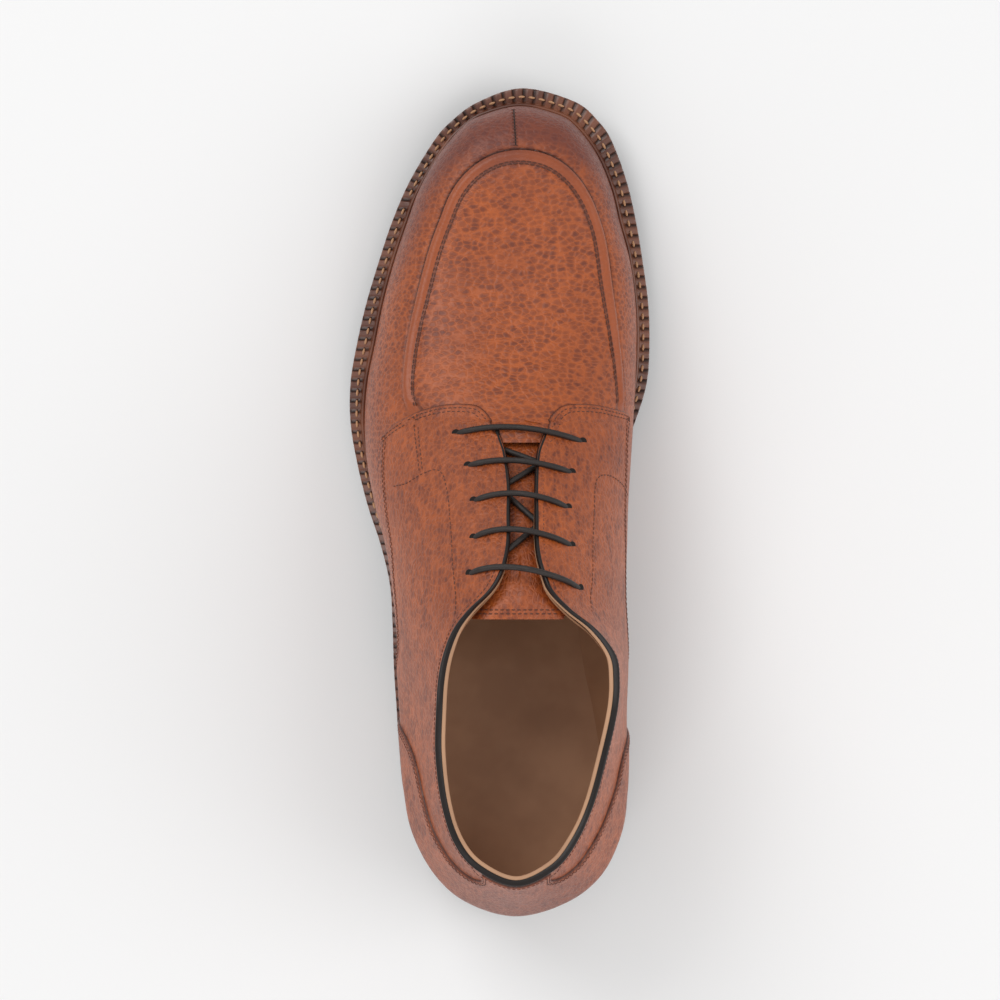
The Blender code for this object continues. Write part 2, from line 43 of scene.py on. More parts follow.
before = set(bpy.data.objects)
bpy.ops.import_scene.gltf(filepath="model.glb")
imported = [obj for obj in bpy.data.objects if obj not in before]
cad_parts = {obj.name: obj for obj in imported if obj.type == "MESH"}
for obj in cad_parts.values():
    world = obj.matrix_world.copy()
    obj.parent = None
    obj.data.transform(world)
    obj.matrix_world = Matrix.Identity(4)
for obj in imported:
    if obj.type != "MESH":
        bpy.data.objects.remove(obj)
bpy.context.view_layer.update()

MM = 0.001

# Sizes of the shoe that its solids share, millimetres
WALL = 2.4
GAP = 0.3
WELT_MARGIN = 6.0
LIP_WIDTH = 1.4
LIP_HEIGHT = 2.2
INSOLE_THICKNESS = 2.5
TONGUE_THICKNESS = 2.4
TONGUE_HALF_WIDTH = 25.0
LACE_ROOM = 3.0
BREAST_Y = 61.0
HEEL_TOP_PIECE = 6.3
HEEL_LIFTS = (2.0, 4.4)
OUTSOLE_SHARE = 0.5
MIDSOLE_SHARE = 0.3
TOE_POLE = (-8.0, -108.0)
HEEL_POLE = (-6.0, 116.0)
HEEL_TURN = 36.0
TOE_TURN = 40.0

Plan = namedtuple("Plan", "y lateral medial")

SOLE_TIP = (-8.6, -154.0)
SOLE_BACK = (-5.9, 154.0)
SOLE_PLAN = (
    Plan(-149.0, 8.0, -28.0),
    Plan(-141.5, 18.5, -37.0),
    Plan(-134.0, 25.0, -42.0),
    Plan(-119.0, 34.0, -47.5),
    Plan(-104.0, 40.5, -51.0),
    Plan(-89.0, 45.5, -53.5),
    Plan(-74.0, 50.0, -55.5),
    Plan(-59.0, 53.5, -56.0),
    Plan(-44.0, 56.0, -55.0),
    Plan(-29.0, 56.0, -50.5),
    Plan(-14.0, 53.5, -44.5),
    Plan(2.0, 49.5, -39.5),
    Plan(17.0, 44.5, -36.5),
    Plan(32.0, 41.0, -35.5),
    Plan(47.0, 40.0, -36.0),
    Plan(62.0, 39.5, -38.0),
    Plan(77.0, 38.5, -41.5),
    Plan(92.0, 37.5, -44.0),
    Plan(107.0, 36.0, -45.5),
    Plan(122.0, 32.5, -45.0),
    Plan(137.0, 24.5, -38.5),
    Plan(148.0, 12.5, -25.5),
)

UPPER_TIP = (-7.5, -146.8)
UPPER_BACK = (-5.9, 152.0)
UPPER_PLAN = (
    Plan(-143.5, 6.5, -22.0),
    Plan(-139.0, 14.0, -28.5),
    Plan(-129.0, 22.5, -36.0),
    Plan(-116.0, 30.0, -41.5),
    Plan(-104.0, 34.5, -44.5),
    Plan(-89.0, 39.5, -48.5),
    Plan(-74.0, 43.5, -50.5),
    Plan(-59.0, 46.5, -51.0),
    Plan(-44.0, 49.5, -50.5),
    Plan(-29.0, 50.5, -49.5),
    Plan(-14.0, 49.5, -48.5),
    Plan(2.0, 46.5, -47.5),
    Plan(17.0, 42.5, -47.0),
    Plan(32.0, 40.0, -46.5),
    Plan(47.0, 38.5, -46.5),
    Plan(62.0, 37.5, -46.5),
    Plan(77.0, 36.5, -46.0),
    Plan(92.0, 35.5, -46.0),
    Plan(107.0, 34.0, -45.5),
    Plan(122.0, 31.0, -43.5),
    Plan(137.0, 23.0, -36.5),
    Plan(147.0, 11.5, -24.0),
)

# The sole seen from the side: height of its underside, and the whole edge from there to the welt's top
Side = namedtuple("Side", "y under edge")
SOLE_SIDE = (
    Side(-155.0, 7.0, 11.0),
    Side(-141.0, 4.1, 12.3),
    Side(-128.0, 2.6, 12.9),
    Side(-115.0, 1.4, 13.3),
    Side(-100.0, 0.5, 13.4),
    Side(-80.0, 0.0, 13.4),
    Side(-62.0, 0.0, 13.4),
    Side(-44.0, 0.0, 13.4),
    Side(-28.0, 0.5, 13.5),
    Side(-13.0, 1.6, 13.6),
    Side(2.0, 3.9, 13.8),
    Side(17.0, 7.4, 14.0),
    Side(32.0, 11.4, 14.2),
    Side(47.0, 15.0, 14.4),
    Side(62.0, 17.2, 14.8),
    Side(90.0, 18.5, 14.9),
    Side(120.0, 20.0, 14.9),
    Side(155.0, 21.6, 14.9),
)

# The closed vamp along its middle: height of the ridge
Ridge = namedtuple("Ridge", "y height")
RIDGE = (
    Ridge(-150.0, 46.0),
    Ridge(-128.0, 46.5),
    Ridge(-115.0, 47.6),
    Ridge(-101.0, 48.1),
    Ridge(-90.0, 48.9),
    Ridge(-75.0, 51.6),
    Ridge(-60.0, 56.6),
    Ridge(-45.0, 63.4),
    Ridge(-29.0, 72.0),
    Ridge(-20.0, 78.0),
)

# The open edge of throat and collar: where it lies in plan, and its height on both sides
Rim = namedtuple("Rim", "y lateral medial lateral_z medial_z")
THROAT_FRONT = -28.0
RIM_BACK = (-5.8, 138.5)
RIM = (
    Rim(-27.0, 0.5, -16.5, 73.6, 73.6),
    Rim(-17.0, -1.8, -13.8, 81.5, 81.5),
    Rim(-6.0, -3.2, -13.0, 89.9, 89.9),
    Rim(4.0, -3.2, -13.0, 97.6, 97.6),
    Rim(14.0, -3.2, -13.0, 104.8, 104.8),
    Rim(21.0, -2.2, -13.8, 109.6, 109.8),
    Rim(27.0, -0.3, -15.6, 113.0, 113.2),
    Rim(33.0, 3.5, -18.2, 114.4, 115.2),
    Rim(40.0, 10.6, -25.2, 113.4, 115.4),
    Rim(47.0, 15.8, -34.0, 111.6, 113.8),
    Rim(56.0, 19.3, -40.6, 107.5, 110.2),
    Rim(65.0, 21.1, -42.0, 103.2, 106.6),
    Rim(76.0, 21.9, -41.3, 99.4, 102.8),
    Rim(92.0, 22.2, -37.8, 97.4, 100.4),
    Rim(110.0, 20.0, -32.8, 99.0, 100.8),
    Rim(124.0, 15.3, -26.3, 101.4, 102.2),
    Rim(133.0, 7.5, -18.7, 103.8, 104.0),
    Rim(138.5, -5.8, -5.8, 105.0, 105.0),
)

# How square the wall profile is along the shoe: flat toe and apron, round instep, leaning heel
Squareness = namedtuple("Squareness", "y across up")
SQUARENESS = (
    Squareness(-150.0, 4.0, 2.2),
    Squareness(-80.0, 4.0, 2.2),
    Squareness(-60.0, 3.4, 2.1),
    Squareness(-30.0, 2.4, 2.0),
    Squareness(0.0, 2.0, 1.9),
    Squareness(30.0, 1.8, 1.8),
    Squareness(55.0, 1.35, 1.35),
    Squareness(80.0, 1.05, 1.0),
    Squareness(155.0, 1.0, 0.92),
)

# The tongue's crown where it stands free of the facings
Edge = namedtuple("Edge", "y height")
TONGUE_CROWN = (
    Edge(20.0, 125.0),
    Edge(27.0, 109.8),
    Edge(33.0, 111.6),
    Edge(38.0, 112.6),
    Edge(43.0, 112.8),
)
TONGUE_SPAN = (-38.0, 43.0)

# The eyelets of each lace bar, and the middle of the bar between them
Bar = namedtuple("Bar", "lateral middle medial")
LACE_BARS = (
    Bar((15.8, -24.2), (-6.0, -26.6), (-29.9, -21.2)),
    Bar((11.4, -12.4), (-6.0, -14.4), (-25.8, -9.9)),
    Bar((9.2, 0.4), (-6.8, -2.4), (-24.3, 2.9)),
    Bar((9.2, 13.8), (-6.2, 10.6), (-25.6, 16.7)),
    Bar((10.6, 26.7), (-6.8, 24.4), (-28.5, 32.0)),
)

# The apron's outer line in plan, from the lateral corner of the facings round the toe to the medial one
APRON_LINE = (
    (36.3, -27.5),
    (36.5, -37.0),
    (36.0, -46.6),
    (35.3, -54.1),
    (33.8, -63.3),
    (31.6, -72.6),
    (29.0, -83.7),
    (26.0, -94.8),
    (21.9, -105.1),
    (17.5, -115.1),
    (10.8, -122.9),
    (5.3, -126.6),
    (-0.3, -128.8),
    (-6.2, -129.6),
    (-11.4, -129.2),
    (-16.9, -128.1),
    (-22.5, -125.5),
    (-29.9, -118.1),
    (-35.5, -107.7),
    (-39.2, -97.7),
    (-41.4, -80.0),
    (-43.6, -63.3),
    (-45.0, -48.0),
    (-45.8, -35.5),
    (-45.8, -28.1),
)

# The facing's front edge from above, as (distance off the spine, y), and two seams from the side, as
# (length u round the shoe, height); on the lateral side u is y
FACING_FRONT = (
    (8.5, -24.0),
    (10.0, -28.5),
    (13.0, -32.6),
    (17.0, -34.8),
    (26.0, -35.0),
    (33.5, -33.6),
    (40.0, -31.0),
)
QUARTER_SEAM = (
    (-24.0, 51.5),
    (-19.5, 52.6),
    (-4.7, 55.5),
    (10.2, 58.6),
    (25.3, 60.8),
    (38.5, 61.0),
    (49.7, 58.0),
    (57.0, 52.5),
    (62.0, 46.0),
    (66.0, 38.5),
    (67.5, 30.0),
)
COUNTER_SEAM = (
    (78.0, 26.0),
    (78.6, 36.0),
    (81.4, 47.7),
    (88.4, 61.5),
    (96.2, 70.3),
    (106.6, 75.2),
    (123.7, 81.2),
    (134.4, 84.1),
    (143.4, 86.5),
    (150.0, 89.0),
    (153.5, 93.0),
    (153.0, 98.0),
    (150.0, 110.0),
)
COUNTER_MIDDLE_U = HEEL_POLE[1] + HEEL_TURN * math.pi / 2

Station = namedtuple("Station", "foot way")
Wall = namedtuple("Wall", "reach feather feather_z belly_z across up rise rim_reach")


def column(rows, name):
    """A smooth curve through one column of a table, as a function of y, that keeps flat stretches flat."""
    ys = np.array([row.y for row in rows])
    values = np.array([getattr(row, name) for row in rows])
    secants = np.diff(values) / np.diff(ys)
    before, after = secants[:-1], secants[1:]
    rising = before * after > 0
    inner = np.where(rising, 2 * before * after / np.where(rising, before + after, 1.0), 0.0)
    slopes = np.array([secants[0], *inner, secants[-1]])

    def value(y):
        y = min(max(y, ys[0]), ys[-1])
        k = min(int(np.searchsorted(ys, y, side="right")) - 1, len(ys) - 2)
        step = ys[k + 1] - ys[k]
        t = (y - ys[k]) / step
        start = values[k] * (1 + 2 * t) * (1 - t) ** 2 + slopes[k] * step * t * (1 - t) ** 2
        end = values[k + 1] * (3 - 2 * t) * t**2 + slopes[k + 1] * step * (t - 1) * t**2
        return float(start + end)

    return value


def smoothstep(low, high, value):
    t = min(max((value - low) / (high - low), 0.0), 1.0)
    return t * t * (3 - 2 * t)


def catmull(before, here, after, beyond, steps):
    """Points of the smooth curve between each here and its after."""
    found = []
    for t in np.arange(steps) / steps:
        pull = (after - before) * t + (2 * before - 5 * here + 4 * after - beyond) * t**2
        found.append(0.5 * (2 * here + pull + (3 * here - before - 3 * after + beyond) * t**3))
    return np.stack(found, axis=1).reshape(-1, here.shape[1])


def smooth_loop(points, steps=12):
    points = np.array(points, float)
    ring = [np.roll(points, shift, axis=0) for shift in (1, 0, -1, -2)]
    return catmull(*ring, steps)


def smooth_line(points, steps=12):
    """A smooth open curve through the points, ends included."""
    points = np.array(points, float)
    padded = np.vstack([2 * points[0] - points[1], points, 2 * points[-1] - points[-2]])
    line = catmull(padded[:-3], padded[1:-2], padded[2:-1], padded[3:], steps)
    return np.vstack([line, points[-1]])


def closed_outline(front, rows, back):
    """A closed smooth outline through the front point, both sides of the rows and the back point."""
    lateral = [(row.lateral, row.y) for row in rows]
    medial = [(row.medial, row.y) for row in reversed(rows)]
    return smooth_loop([front, *lateral, back, *medial])


SOLE_OUTLINE = closed_outline(SOLE_TIP, SOLE_PLAN, SOLE_BACK)
UPPER_OUTLINE = closed_outline(UPPER_TIP, UPPER_PLAN, UPPER_BACK)
RIM_OUTLINE = closed_outline((-8.0, THROAT_FRONT), RIM[:-1], RIM_BACK)
under_z = column(SOLE_SIDE, "under")
edge_height = column(SOLE_SIDE, "edge")
ridge_z = column(RIDGE, "height")
squareness_across = column(SQUARENESS, "across")
squareness_up = column(SQUARENESS, "up")
rim_lateral_z = column(RIM, "lateral_z")
rim_medial_z = column(RIM, "medial_z")
tongue_crown = column(TONGUE_CROWN, "height")


def welt_top(y):
    return under_z(y) + edge_height(y)


def outsole_top(y):
    return under_z(y) + OUTSOLE_SHARE * edge_height(y)


def midsole_top(y):
    return outsole_top(y) + MIDSOLE_SHARE * edge_height(y)


def spine_x(y):
    share = (y - TOE_POLE[1]) / (HEEL_POLE[1] - TOE_POLE[1])
    return TOE_POLE[0] + share * (HEEL_POLE[0] - TOE_POLE[0])


def station_at(u):
    """The station at a length u along the ring: y on the lateral side, on round the heel, medial side."""
    turn = HEEL_TURN * math.pi
    if u <= HEEL_POLE[1]:
        return Station((spine_x(u), u), (1.0, 0.0))
    if u < HEEL_POLE[1] + turn:
        angle = (u - HEEL_POLE[1]) / HEEL_TURN
        return Station(HEEL_POLE, (math.cos(angle), math.sin(angle)))
    y = 2 * HEEL_POLE[1] + turn - u
    return Station((spine_x(y), y), (-1.0, 0.0))


def medial_u(y):
    return 2 * HEEL_POLE[1] + HEEL_TURN * math.pi - y


def reach(outline, station):
    """How far the outline is from the station's foot, along its way."""
    foot, way = np.array(station.foot), np.array(station.way)
    here = outline - foot
    there = np.roll(outline, -1, axis=0) - foot
    across_here = here[:, 0] * way[1] - here[:, 1] * way[0]
    across_there = there[:, 0] * way[1] - there[:, 1] * way[0]
    crossing = across_here * across_there <= 0
    share = across_here / np.where(crossing, across_here - across_there, 1.0)
    along = here @ way + share * ((there - here) @ way)
    return float(along[crossing & (along > 0)].max())


def y_at(station, distance):
    return station.foot[1] + station.way[1] * distance


def place(station, distance, height):
    """A point of the station's half plane, in mm."""
    return np.array([station.foot[0] + station.way[0] * distance, y_at(station, distance), height])


def wall_at(station):
    """The sizes of the wall profile in one half plane."""
    out = reach(UPPER_OUTLINE, station)
    feather = min(reach(SOLE_OUTLINE, station) - WELT_MARGIN, out - 0.5)
    feather_z = welt_top(y_at(station, feather)) + GAP
    belly_z = feather_z + min(7.0 + 2.7 * (out - feather), 24.0)
    across = squareness_across(y_at(station, out))
    up = squareness_up(y_at(station, out))
    if station.foot[1] < THROAT_FRONT:
        return Wall(out, feather, feather_z, belly_z, across, up, None, 0.0)
    rim_reach = reach(RIM_OUTLINE, station)
    rim_y = y_at(station, rim_reach)
    rim_z = rim_lateral_z(rim_y) if station.way[0] > 0 else rim_medial_z(rim_y)
    rise = (rim_z - belly_z) / (1 - (rim_reach / out) ** across) ** (1 / up)
    return Wall(out, feather, feather_z, belly_z, across, up, rise, rim_reach)


def form_height(station, wall, distance):
    """Height of the outer form at a distance from the spine."""
    rise = wall.rise
    if rise is None:
        rise = ridge_z(y_at(station, distance)) - wall.belly_z
    share = min(distance / wall.reach, 1.0)
    return wall.belly_z + rise * max(1 - share**wall.across, 0.0) ** (1 / wall.up)


def lower_wall(wall, share):
    """From the feather, share 0, out to the belly, share 1."""
    distance = wall.reach - (wall.reach - wall.feather) * (1 - share) ** 2
    return distance, wall.feather_z + share * (wall.belly_z - wall.feather_z)


def wall_profile(station, wall, low_steps=10, high_steps=60):
    """Distances and heights of the outer face, from the feather to the rim or the ridge."""
    last = math.acos(min((wall.rim_reach / wall.reach) ** (wall.across / 2), 1.0))
    points = [lower_wall(wall, k / low_steps) for k in range(low_steps)]
    for k in range(high_steps):
        distance = wall.reach * math.cos(last * k / high_steps) ** (2 / wall.across)
        points.append((distance, form_height(station, wall, distance)))
    points.append((wall.rim_reach, form_height(station, wall, wall.rim_reach)))
    return np.array(points)


def lengths_along(points):
    steps = np.linalg.norm(np.diff(points, axis=0), axis=1)
    return np.concatenate([[0.0], np.cumsum(steps)])


def resampled(points, count):
    """The same line with evenly spaced points."""
    along = lengths_along(points)
    wanted = np.linspace(0.0, along[-1], count)
    return np.stack([np.interp(wanted, along, values) for values in points.T], axis=1)


def grid_bmesh(points):
    """A grid of faces shaped to rows of points, given in mm."""
    along, across = points.shape[:2]
    bm = bmesh.new()
    bmesh.ops.create_grid(bm, x_segments=across - 1, y_segments=along - 1, size=1.0)
    bm.verts.ensure_lookup_table()
    flat = points.reshape(-1, 3) * MM
    for vert, co in zip(bm.verts, flat):
        vert.co = co
    return bm


def close_ends(bm):
    """Merges the seam of a rolled-up grid and fills its open ends."""
    bmesh.ops.remove_doubles(bm, verts=bm.verts, dist=1e-6)
    bmesh.ops.holes_fill(bm, edges=bm.edges, sides=0)


def finish_piece(name, bm, materials, replaced=(), smooth=40.0, weld=True, recalc=True):
    """Links the mesh as a finished piece that rides on the shoe."""
    if weld:
        bmesh.ops.remove_doubles(bm, verts=bm.verts, dist=2e-6)
    if recalc:
        bmesh.ops.recalc_face_normals(bm, faces=bm.faces)
    mesh = bpy.data.meshes.new(name)
    bm.to_mesh(mesh)
    bm.free()
    mesh.shade_smooth()
    mesh.set_sharp_from_angle(angle=math.radians(smooth))
    piece = bpy.data.objects.new(name, mesh)
    bpy.context.scene.collection.objects.link(piece)
    for material in materials:
        mesh.materials.append(material)
    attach(piece, "root")
    if replaced:
        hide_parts(*replaced)


def on_ring(u):
    """The station at a length u along the whole ring, the turn of the toe included."""
    toe = medial_u(TOE_POLE[1])
    if u <= toe:
        return station_at(u)
    angle = math.pi + (u - toe) / TOE_TURN
    return Station(TOE_POLE, (math.cos(angle), math.sin(angle)))


# Points up each profile, and how many times the corner at the belly is evened out towards the heel
PROFILE_POINTS = 120
PROFILE_SOFTENING = 24
# The slope of a profile is taken from this much below a point to this much above it
SLOPE_STEP = 0.8


@lru_cache(maxsize=None)
def profile_at(u):
    """The outer face in the half plane at u: distances, heights and lengths up from the feather."""
    station = on_ring(u)
    points = resampled(wall_profile(station, wall_at(station)), PROFILE_POINTS)
    soft = points.copy()
    for _ in range(PROFILE_SOFTENING):
        soft[1:-1] = (soft[:-2] + soft[1:-1] + soft[2:]) / 3
    share = smoothstep(20.0, 80.0, y_at(station, points[0, 0]))
    points = points + share * (soft - points)
    return station, points, lengths_along(points)


def v_at_height(u, height):
    _, points, up = profile_at(u)
    return float(np.interp(height, points[:, 1], up))


def v_at_distance(u, distance):
    """The length up to where the top of the form is at a distance from the spine."""
    _, points, up = profile_at(u)
    widest = int(np.argmax(points[:, 0]))
    return float(np.interp(-distance, -points[widest:, 0], up[widest:]))


def surface_point(u, v, lift=0.0):
    """A point of the form, in mm, and the way out of it."""
    station, points, up = profile_at(u)
    distance, height = (np.interp(v, up, points[:, k]) for k in (0, 1))
    near = [np.interp((v - SLOPE_STEP, v + SLOPE_STEP), up, points[:, k]) for k in (0, 1)]
    rise = np.array([after - before for before, after in near])
    rise /= max(np.linalg.norm(rise), 1e-9)
    way = np.array([*station.way, 0.0])
    out = rise[1] * way + np.array([0.0, 0.0, -rise[0]])
    point = np.array([*station.foot, 0.0]) + distance * way + np.array([0.0, 0.0, height])
    return point + lift * out, out


def surface(us, rows):
    """A row of points on the form for each u, from the feather up, and the v of each point."""
    points, vs = [], []
    for u in us:
        station, profile, up = profile_at(float(u))
        wanted = np.linspace(0.0, up[-1], rows)
        distance, height = (np.interp(wanted, up, profile[:, k]) for k in (0, 1))
        row = np.zeros((rows, 3))
        row[:, :2] = np.array(station.foot) + distance[:, None] * np.array(station.way)
        row[:, 2] = height
        points.append(row)
        vs.append(wanted)
    return np.array(points), np.array(vs)


def ways_out(points, closed=False):
    """Unit normals of rows of points, away from the inside of the shoe."""
    if closed:
        wrapped = np.vstack([points[-1:], points, points[:1]])
        along = (wrapped[2:] - wrapped[:-2]) / 2
    else:
        along = np.gradient(points, axis=0)
    up = np.gradient(points, axis=1)
    out = np.cross(along, up)
    length = np.linalg.norm(out, axis=2, keepdims=True)
    return np.where(length > 1e-7, out / np.maximum(length, 1e-7), np.array([0.0, 0.0, 1.0]))


def nearest(points, line):
    """Distance of each point to a line given by many points."""
    flat = points.reshape(-1, points.shape[-1])
    starts, ends = line[:-1], line[1:]
    runs = ends - starts
    squares = np.maximum((runs**2).sum(axis=1), 1e-12)
    found = np.empty(len(flat))
    for first in range(0, len(flat), 4000):
        some = flat[first : first + 4000]
        offset = some[:, None, :] - starts[None]
        share = np.clip((offset * runs[None]).sum(axis=2) / squares[None], 0.0, 1.0)
        gap = offset - share[..., None] * runs[None]
        found[first : first + 4000] = np.sqrt((gap**2).sum(axis=2).min(axis=1))
    return found.reshape(points.shape[:-1])


def inside(points, loop):
    """Which points lie inside a closed loop of the plane."""
    x, y = points[..., 0], points[..., 1]
    found = np.zeros(x.shape, bool)
    for (ax, ay), (bx, by) in zip(loop, np.roll(loop, -1, axis=0)):
        if ay != by:
            crossing = (ay > y) != (by > y)
            found ^= crossing & (x < (bx - ax) * (y - ay) / (by - ay) + ax)
    return found


def signed(points, line, loop):
    """Distance to the line, positive inside the loop that it is part of."""
    return np.where(inside(points, loop), 1.0, -1.0) * nearest(points, line)


class Hide:
    """A sheet of leather under work: a grid with a way out and measured distances at every vertex."""

    def __init__(self, points, out, **fields):
        self.bm = grid_bmesh(points)
        self.out = self.bm.verts.layers.float_vector.new("out")
        self.fields = {name: self.bm.verts.layers.float.new(name) for name in fields}
        flat = {name: values.ravel() for name, values in fields.items()}
        for number, (vert, way) in enumerate(zip(self.bm.verts, out.reshape(-1, 3))):
            vert[self.out] = way
            for name, layer in self.fields.items():
                vert[layer] = flat[name][number]

    def score(self, name, levels):
        """Adds edges along the lines where a distance takes each level."""
        layer = self.fields[name]
        for level in levels:
            for edge in list(self.bm.edges):
                a, b = edge.verts
                above, below = a[layer] - level, b[layer] - level
                if above * below < 0 and min(abs(above), abs(below)) > 1e-4:
                    self.split(edge, a, b, above / (above - below))
            for face in list(self.bm.faces):
                on_line = [vert for vert in face.verts if abs(vert[layer] - level) < 2e-4]
                spread = [vert[layer] - level for vert in face.verts]
                if len(on_line) == 2 and min(spread) < -2e-4 and max(spread) > 2e-4:
                    bmesh.utils.face_split(face, on_line[0], on_line[1])

    def split(self, edge, a, b, share):
        layers = [self.out, *self.fields.values()]
        mixed = [a[layer] * (1 - share) + b[layer] * share for layer in layers]
        _, new = bmesh.utils.edge_split(edge, a, share)
        for layer, value in zip(layers, mixed):
            new[layer] = value

    def trim(self, name):
        """Takes away what lies below 0."""
        layer = self.fields[name]
        outside = [face for face in self.bm.faces if min(vert[layer] for vert in face.verts) < -2e-4]
        bmesh.ops.delete(self.bm, geom=outside, context="FACES")

    def lift(self, height_at):
        """Moves each vertex out by the height, in mm, that the function gives for its distances."""
        for vert in self.bm.verts:
            values = {name: vert[layer] for name, layer in self.fields.items()}
            vert.co += vert[self.out].normalized() * height_at(**values) * MM

    def skirt(self, depth):
        """Turns the free edges down into what lies under the sheet."""
        free = [edge for edge in self.bm.edges if edge.is_boundary]
        grown = bmesh.ops.extrude_edge_only(self.bm, edges=free)["geom"]
        for vert in grown:
            if isinstance(vert, bmesh.types.BMVert):
                vert.co -= vert[self.out].normalized() * depth * MM

    def finish(self, name, materials, replaced, smooth):
        turn_outwards_all(self.bm, self.out)
        finish_piece(name, self.bm, materials, replaced, smooth, recalc=False)


def turn_outwards_all(bm, out):
    """Turns all faces round together if most look against the ways out."""
    bm.normal_update()
    agree = sum(1 if face.normal.dot(face.verts[0][out]) > 0 else -1 for face in bm.faces)
    if agree < 0:
        bmesh.ops.reverse_faces(bm, faces=bm.faces)


def steps(table):
    """A function that joins the (distance, height) pairs of a table by straight lines."""
    xs, ys = zip(*table)
    return lambda value: float(np.interp(value, xs, ys))


class Wire:
    """An output of a look's node that adds, subtracts and multiplies like a number."""

    def __init__(self, look, socket):
        self.look = look
        self.socket = socket

    def math(self, operation, first, second):
        return self.look.node("Math", {"operation": operation}, {0: first, 1: second})

    def __add__(self, other):
        return self.math("ADD", self, other)

    def __sub__(self, other):
        return self.math("SUBTRACT", self, other)

    def __rsub__(self, other):
        return self.math("SUBTRACT", other, self)

    def __mul__(self, other):
        return self.math("MULTIPLY", self, other)

    __radd__ = __add__
    __rmul__ = __mul__

    def between(self, low, high):
        """0 below low, 1 above high, smooth in between; a high below low turns it round."""
        settings = {"interpolation_type": "SMOOTHSTEP"}
        return self.look.node("MapRange", settings, {"Value": self, "From Min": low, "From Max": high})

    def mixed(self, first, second):
        """The first colour where this is 0, the second where it is 1."""
        settings = {"data_type": "RGBA"}
        return self.look.node("Mix", settings, {"Factor": self, 6: first, 7: second}, 2)

    def unit(self):
        """Kept between 0 and 1."""
        return self.look.node("Clamp", {}, {"Value": self})


class Look:
    """A material whose shader takes plain constants and wires."""

    def __init__(self, name, **constants):
        self.material = bpy.data.materials.new(name)
        self.material.use_nodes = True
        self.tree = self.material.node_tree
        self.shader = self.tree.nodes["Principled BSDF"]
        for socket, value in constants.items():
            self.shader.inputs[socket.replace("_", " ")].default_value = value

    def node(self, kind, settings=None, values=None, output=0):
        made = self.tree.nodes.new("ShaderNode" + kind)
        for key, value in (settings or {}).items():
            setattr(made, key, value)
        for key, value in (values or {}).items():
            self.join(value, made.inputs[key])
        return Wire(self, made.outputs[output])

    def join(self, value, socket):
        if isinstance(value, Wire):
            self.tree.links.new(value.socket, socket)
        else:
            socket.default_value = value

    def wear(self, **wires):
        for socket, wire in wires.items():
            self.join(wire, self.shader.inputs[socket.replace("_", " ")])

    def place(self):
        return self.node("TexCoord", output="Object")

    def axis(self, number):
        """One coordinate of the object, in mm."""
        return self.node("SeparateXYZ", {}, {0: self.place()}, number) * 1000.0

    def field(self, name):
        return self.node("Attribute", {"attribute_name": name}, output="Fac")

    def noise(self, scale, detail=2.0, stretch=(1.0, 1.0, 1.0)):
        vector = self.node("Mapping", {}, {"Vector": self.place(), "Scale": stretch})
        return self.node("TexNoise", {}, {"Vector": vector, "Scale": scale, "Detail": detail})

    def dent(self, height, distance, strength=1.0):
        """The normal that a height pattern gives; distance is in mm."""
        values = {"Height": height, "Distance": distance * MM, "Strength": strength}
        return self.node("Bump", {}, values)


def mixture(first, second, share):
    return tuple(a + (b - a) * share for a, b in zip(first, second))


def rgba(colour):
    return (*colour, 1.0)


# The grain: size of a pebble in mm, its stretch, and how strong its dark middle and the streaks are
GrainCells = namedtuple("GrainCells", "size stretch dots streaks")
APRON_CELLS = GrainCells(1.75, (0.60, 1.0, 0.9), 0.52, 0.12)
WALL_CELLS = GrainCells(1.5, (1.0, 0.62, 0.8), 0.26, 0.42)
STAY_CELLS = GrainCells(1.6, (1.0, 0.66, 0.85), 0.34, 0.30)
# How unevenly the pebbles lie, and a slow noise that pushes them aside by up to 2.2 mm
CELL_RANDOMNESS = 0.85
WOBBLE_SCALE = 160.0
WOBBLE_REACH = 0.0022


def pebbles(look, cells):
    """Rounded pebbles: distance to their edges, a tone for each, and distance to their middles."""
    values = {"Vector": look.place(), "Scale": WOBBLE_SCALE, "Detail": 2.0}
    wobble = look.node("TexNoise", {}, values, "Color")
    moved = look.node("VectorMath", {"operation": "SCALE"}, {0: wobble, "Scale": WOBBLE_REACH})
    shifted = look.node("VectorMath", {"operation": "ADD"}, {0: look.place(), 1: moved})
    vector = look.node("Mapping", {}, {"Vector": shifted, "Scale": cells.stretch})
    scale = 1000.0 / cells.size
    settings = {"feature": "DISTANCE_TO_EDGE"}
    values = {"Vector": vector, "Scale": scale, "Randomness": CELL_RANDOMNESS}
    edge = look.node("TexVoronoi", settings, values, "Distance")
    tone = look.node("TexVoronoi", {}, values, "Color")
    away = look.node("TexVoronoi", {}, values, "Distance")
    return edge, tone, away


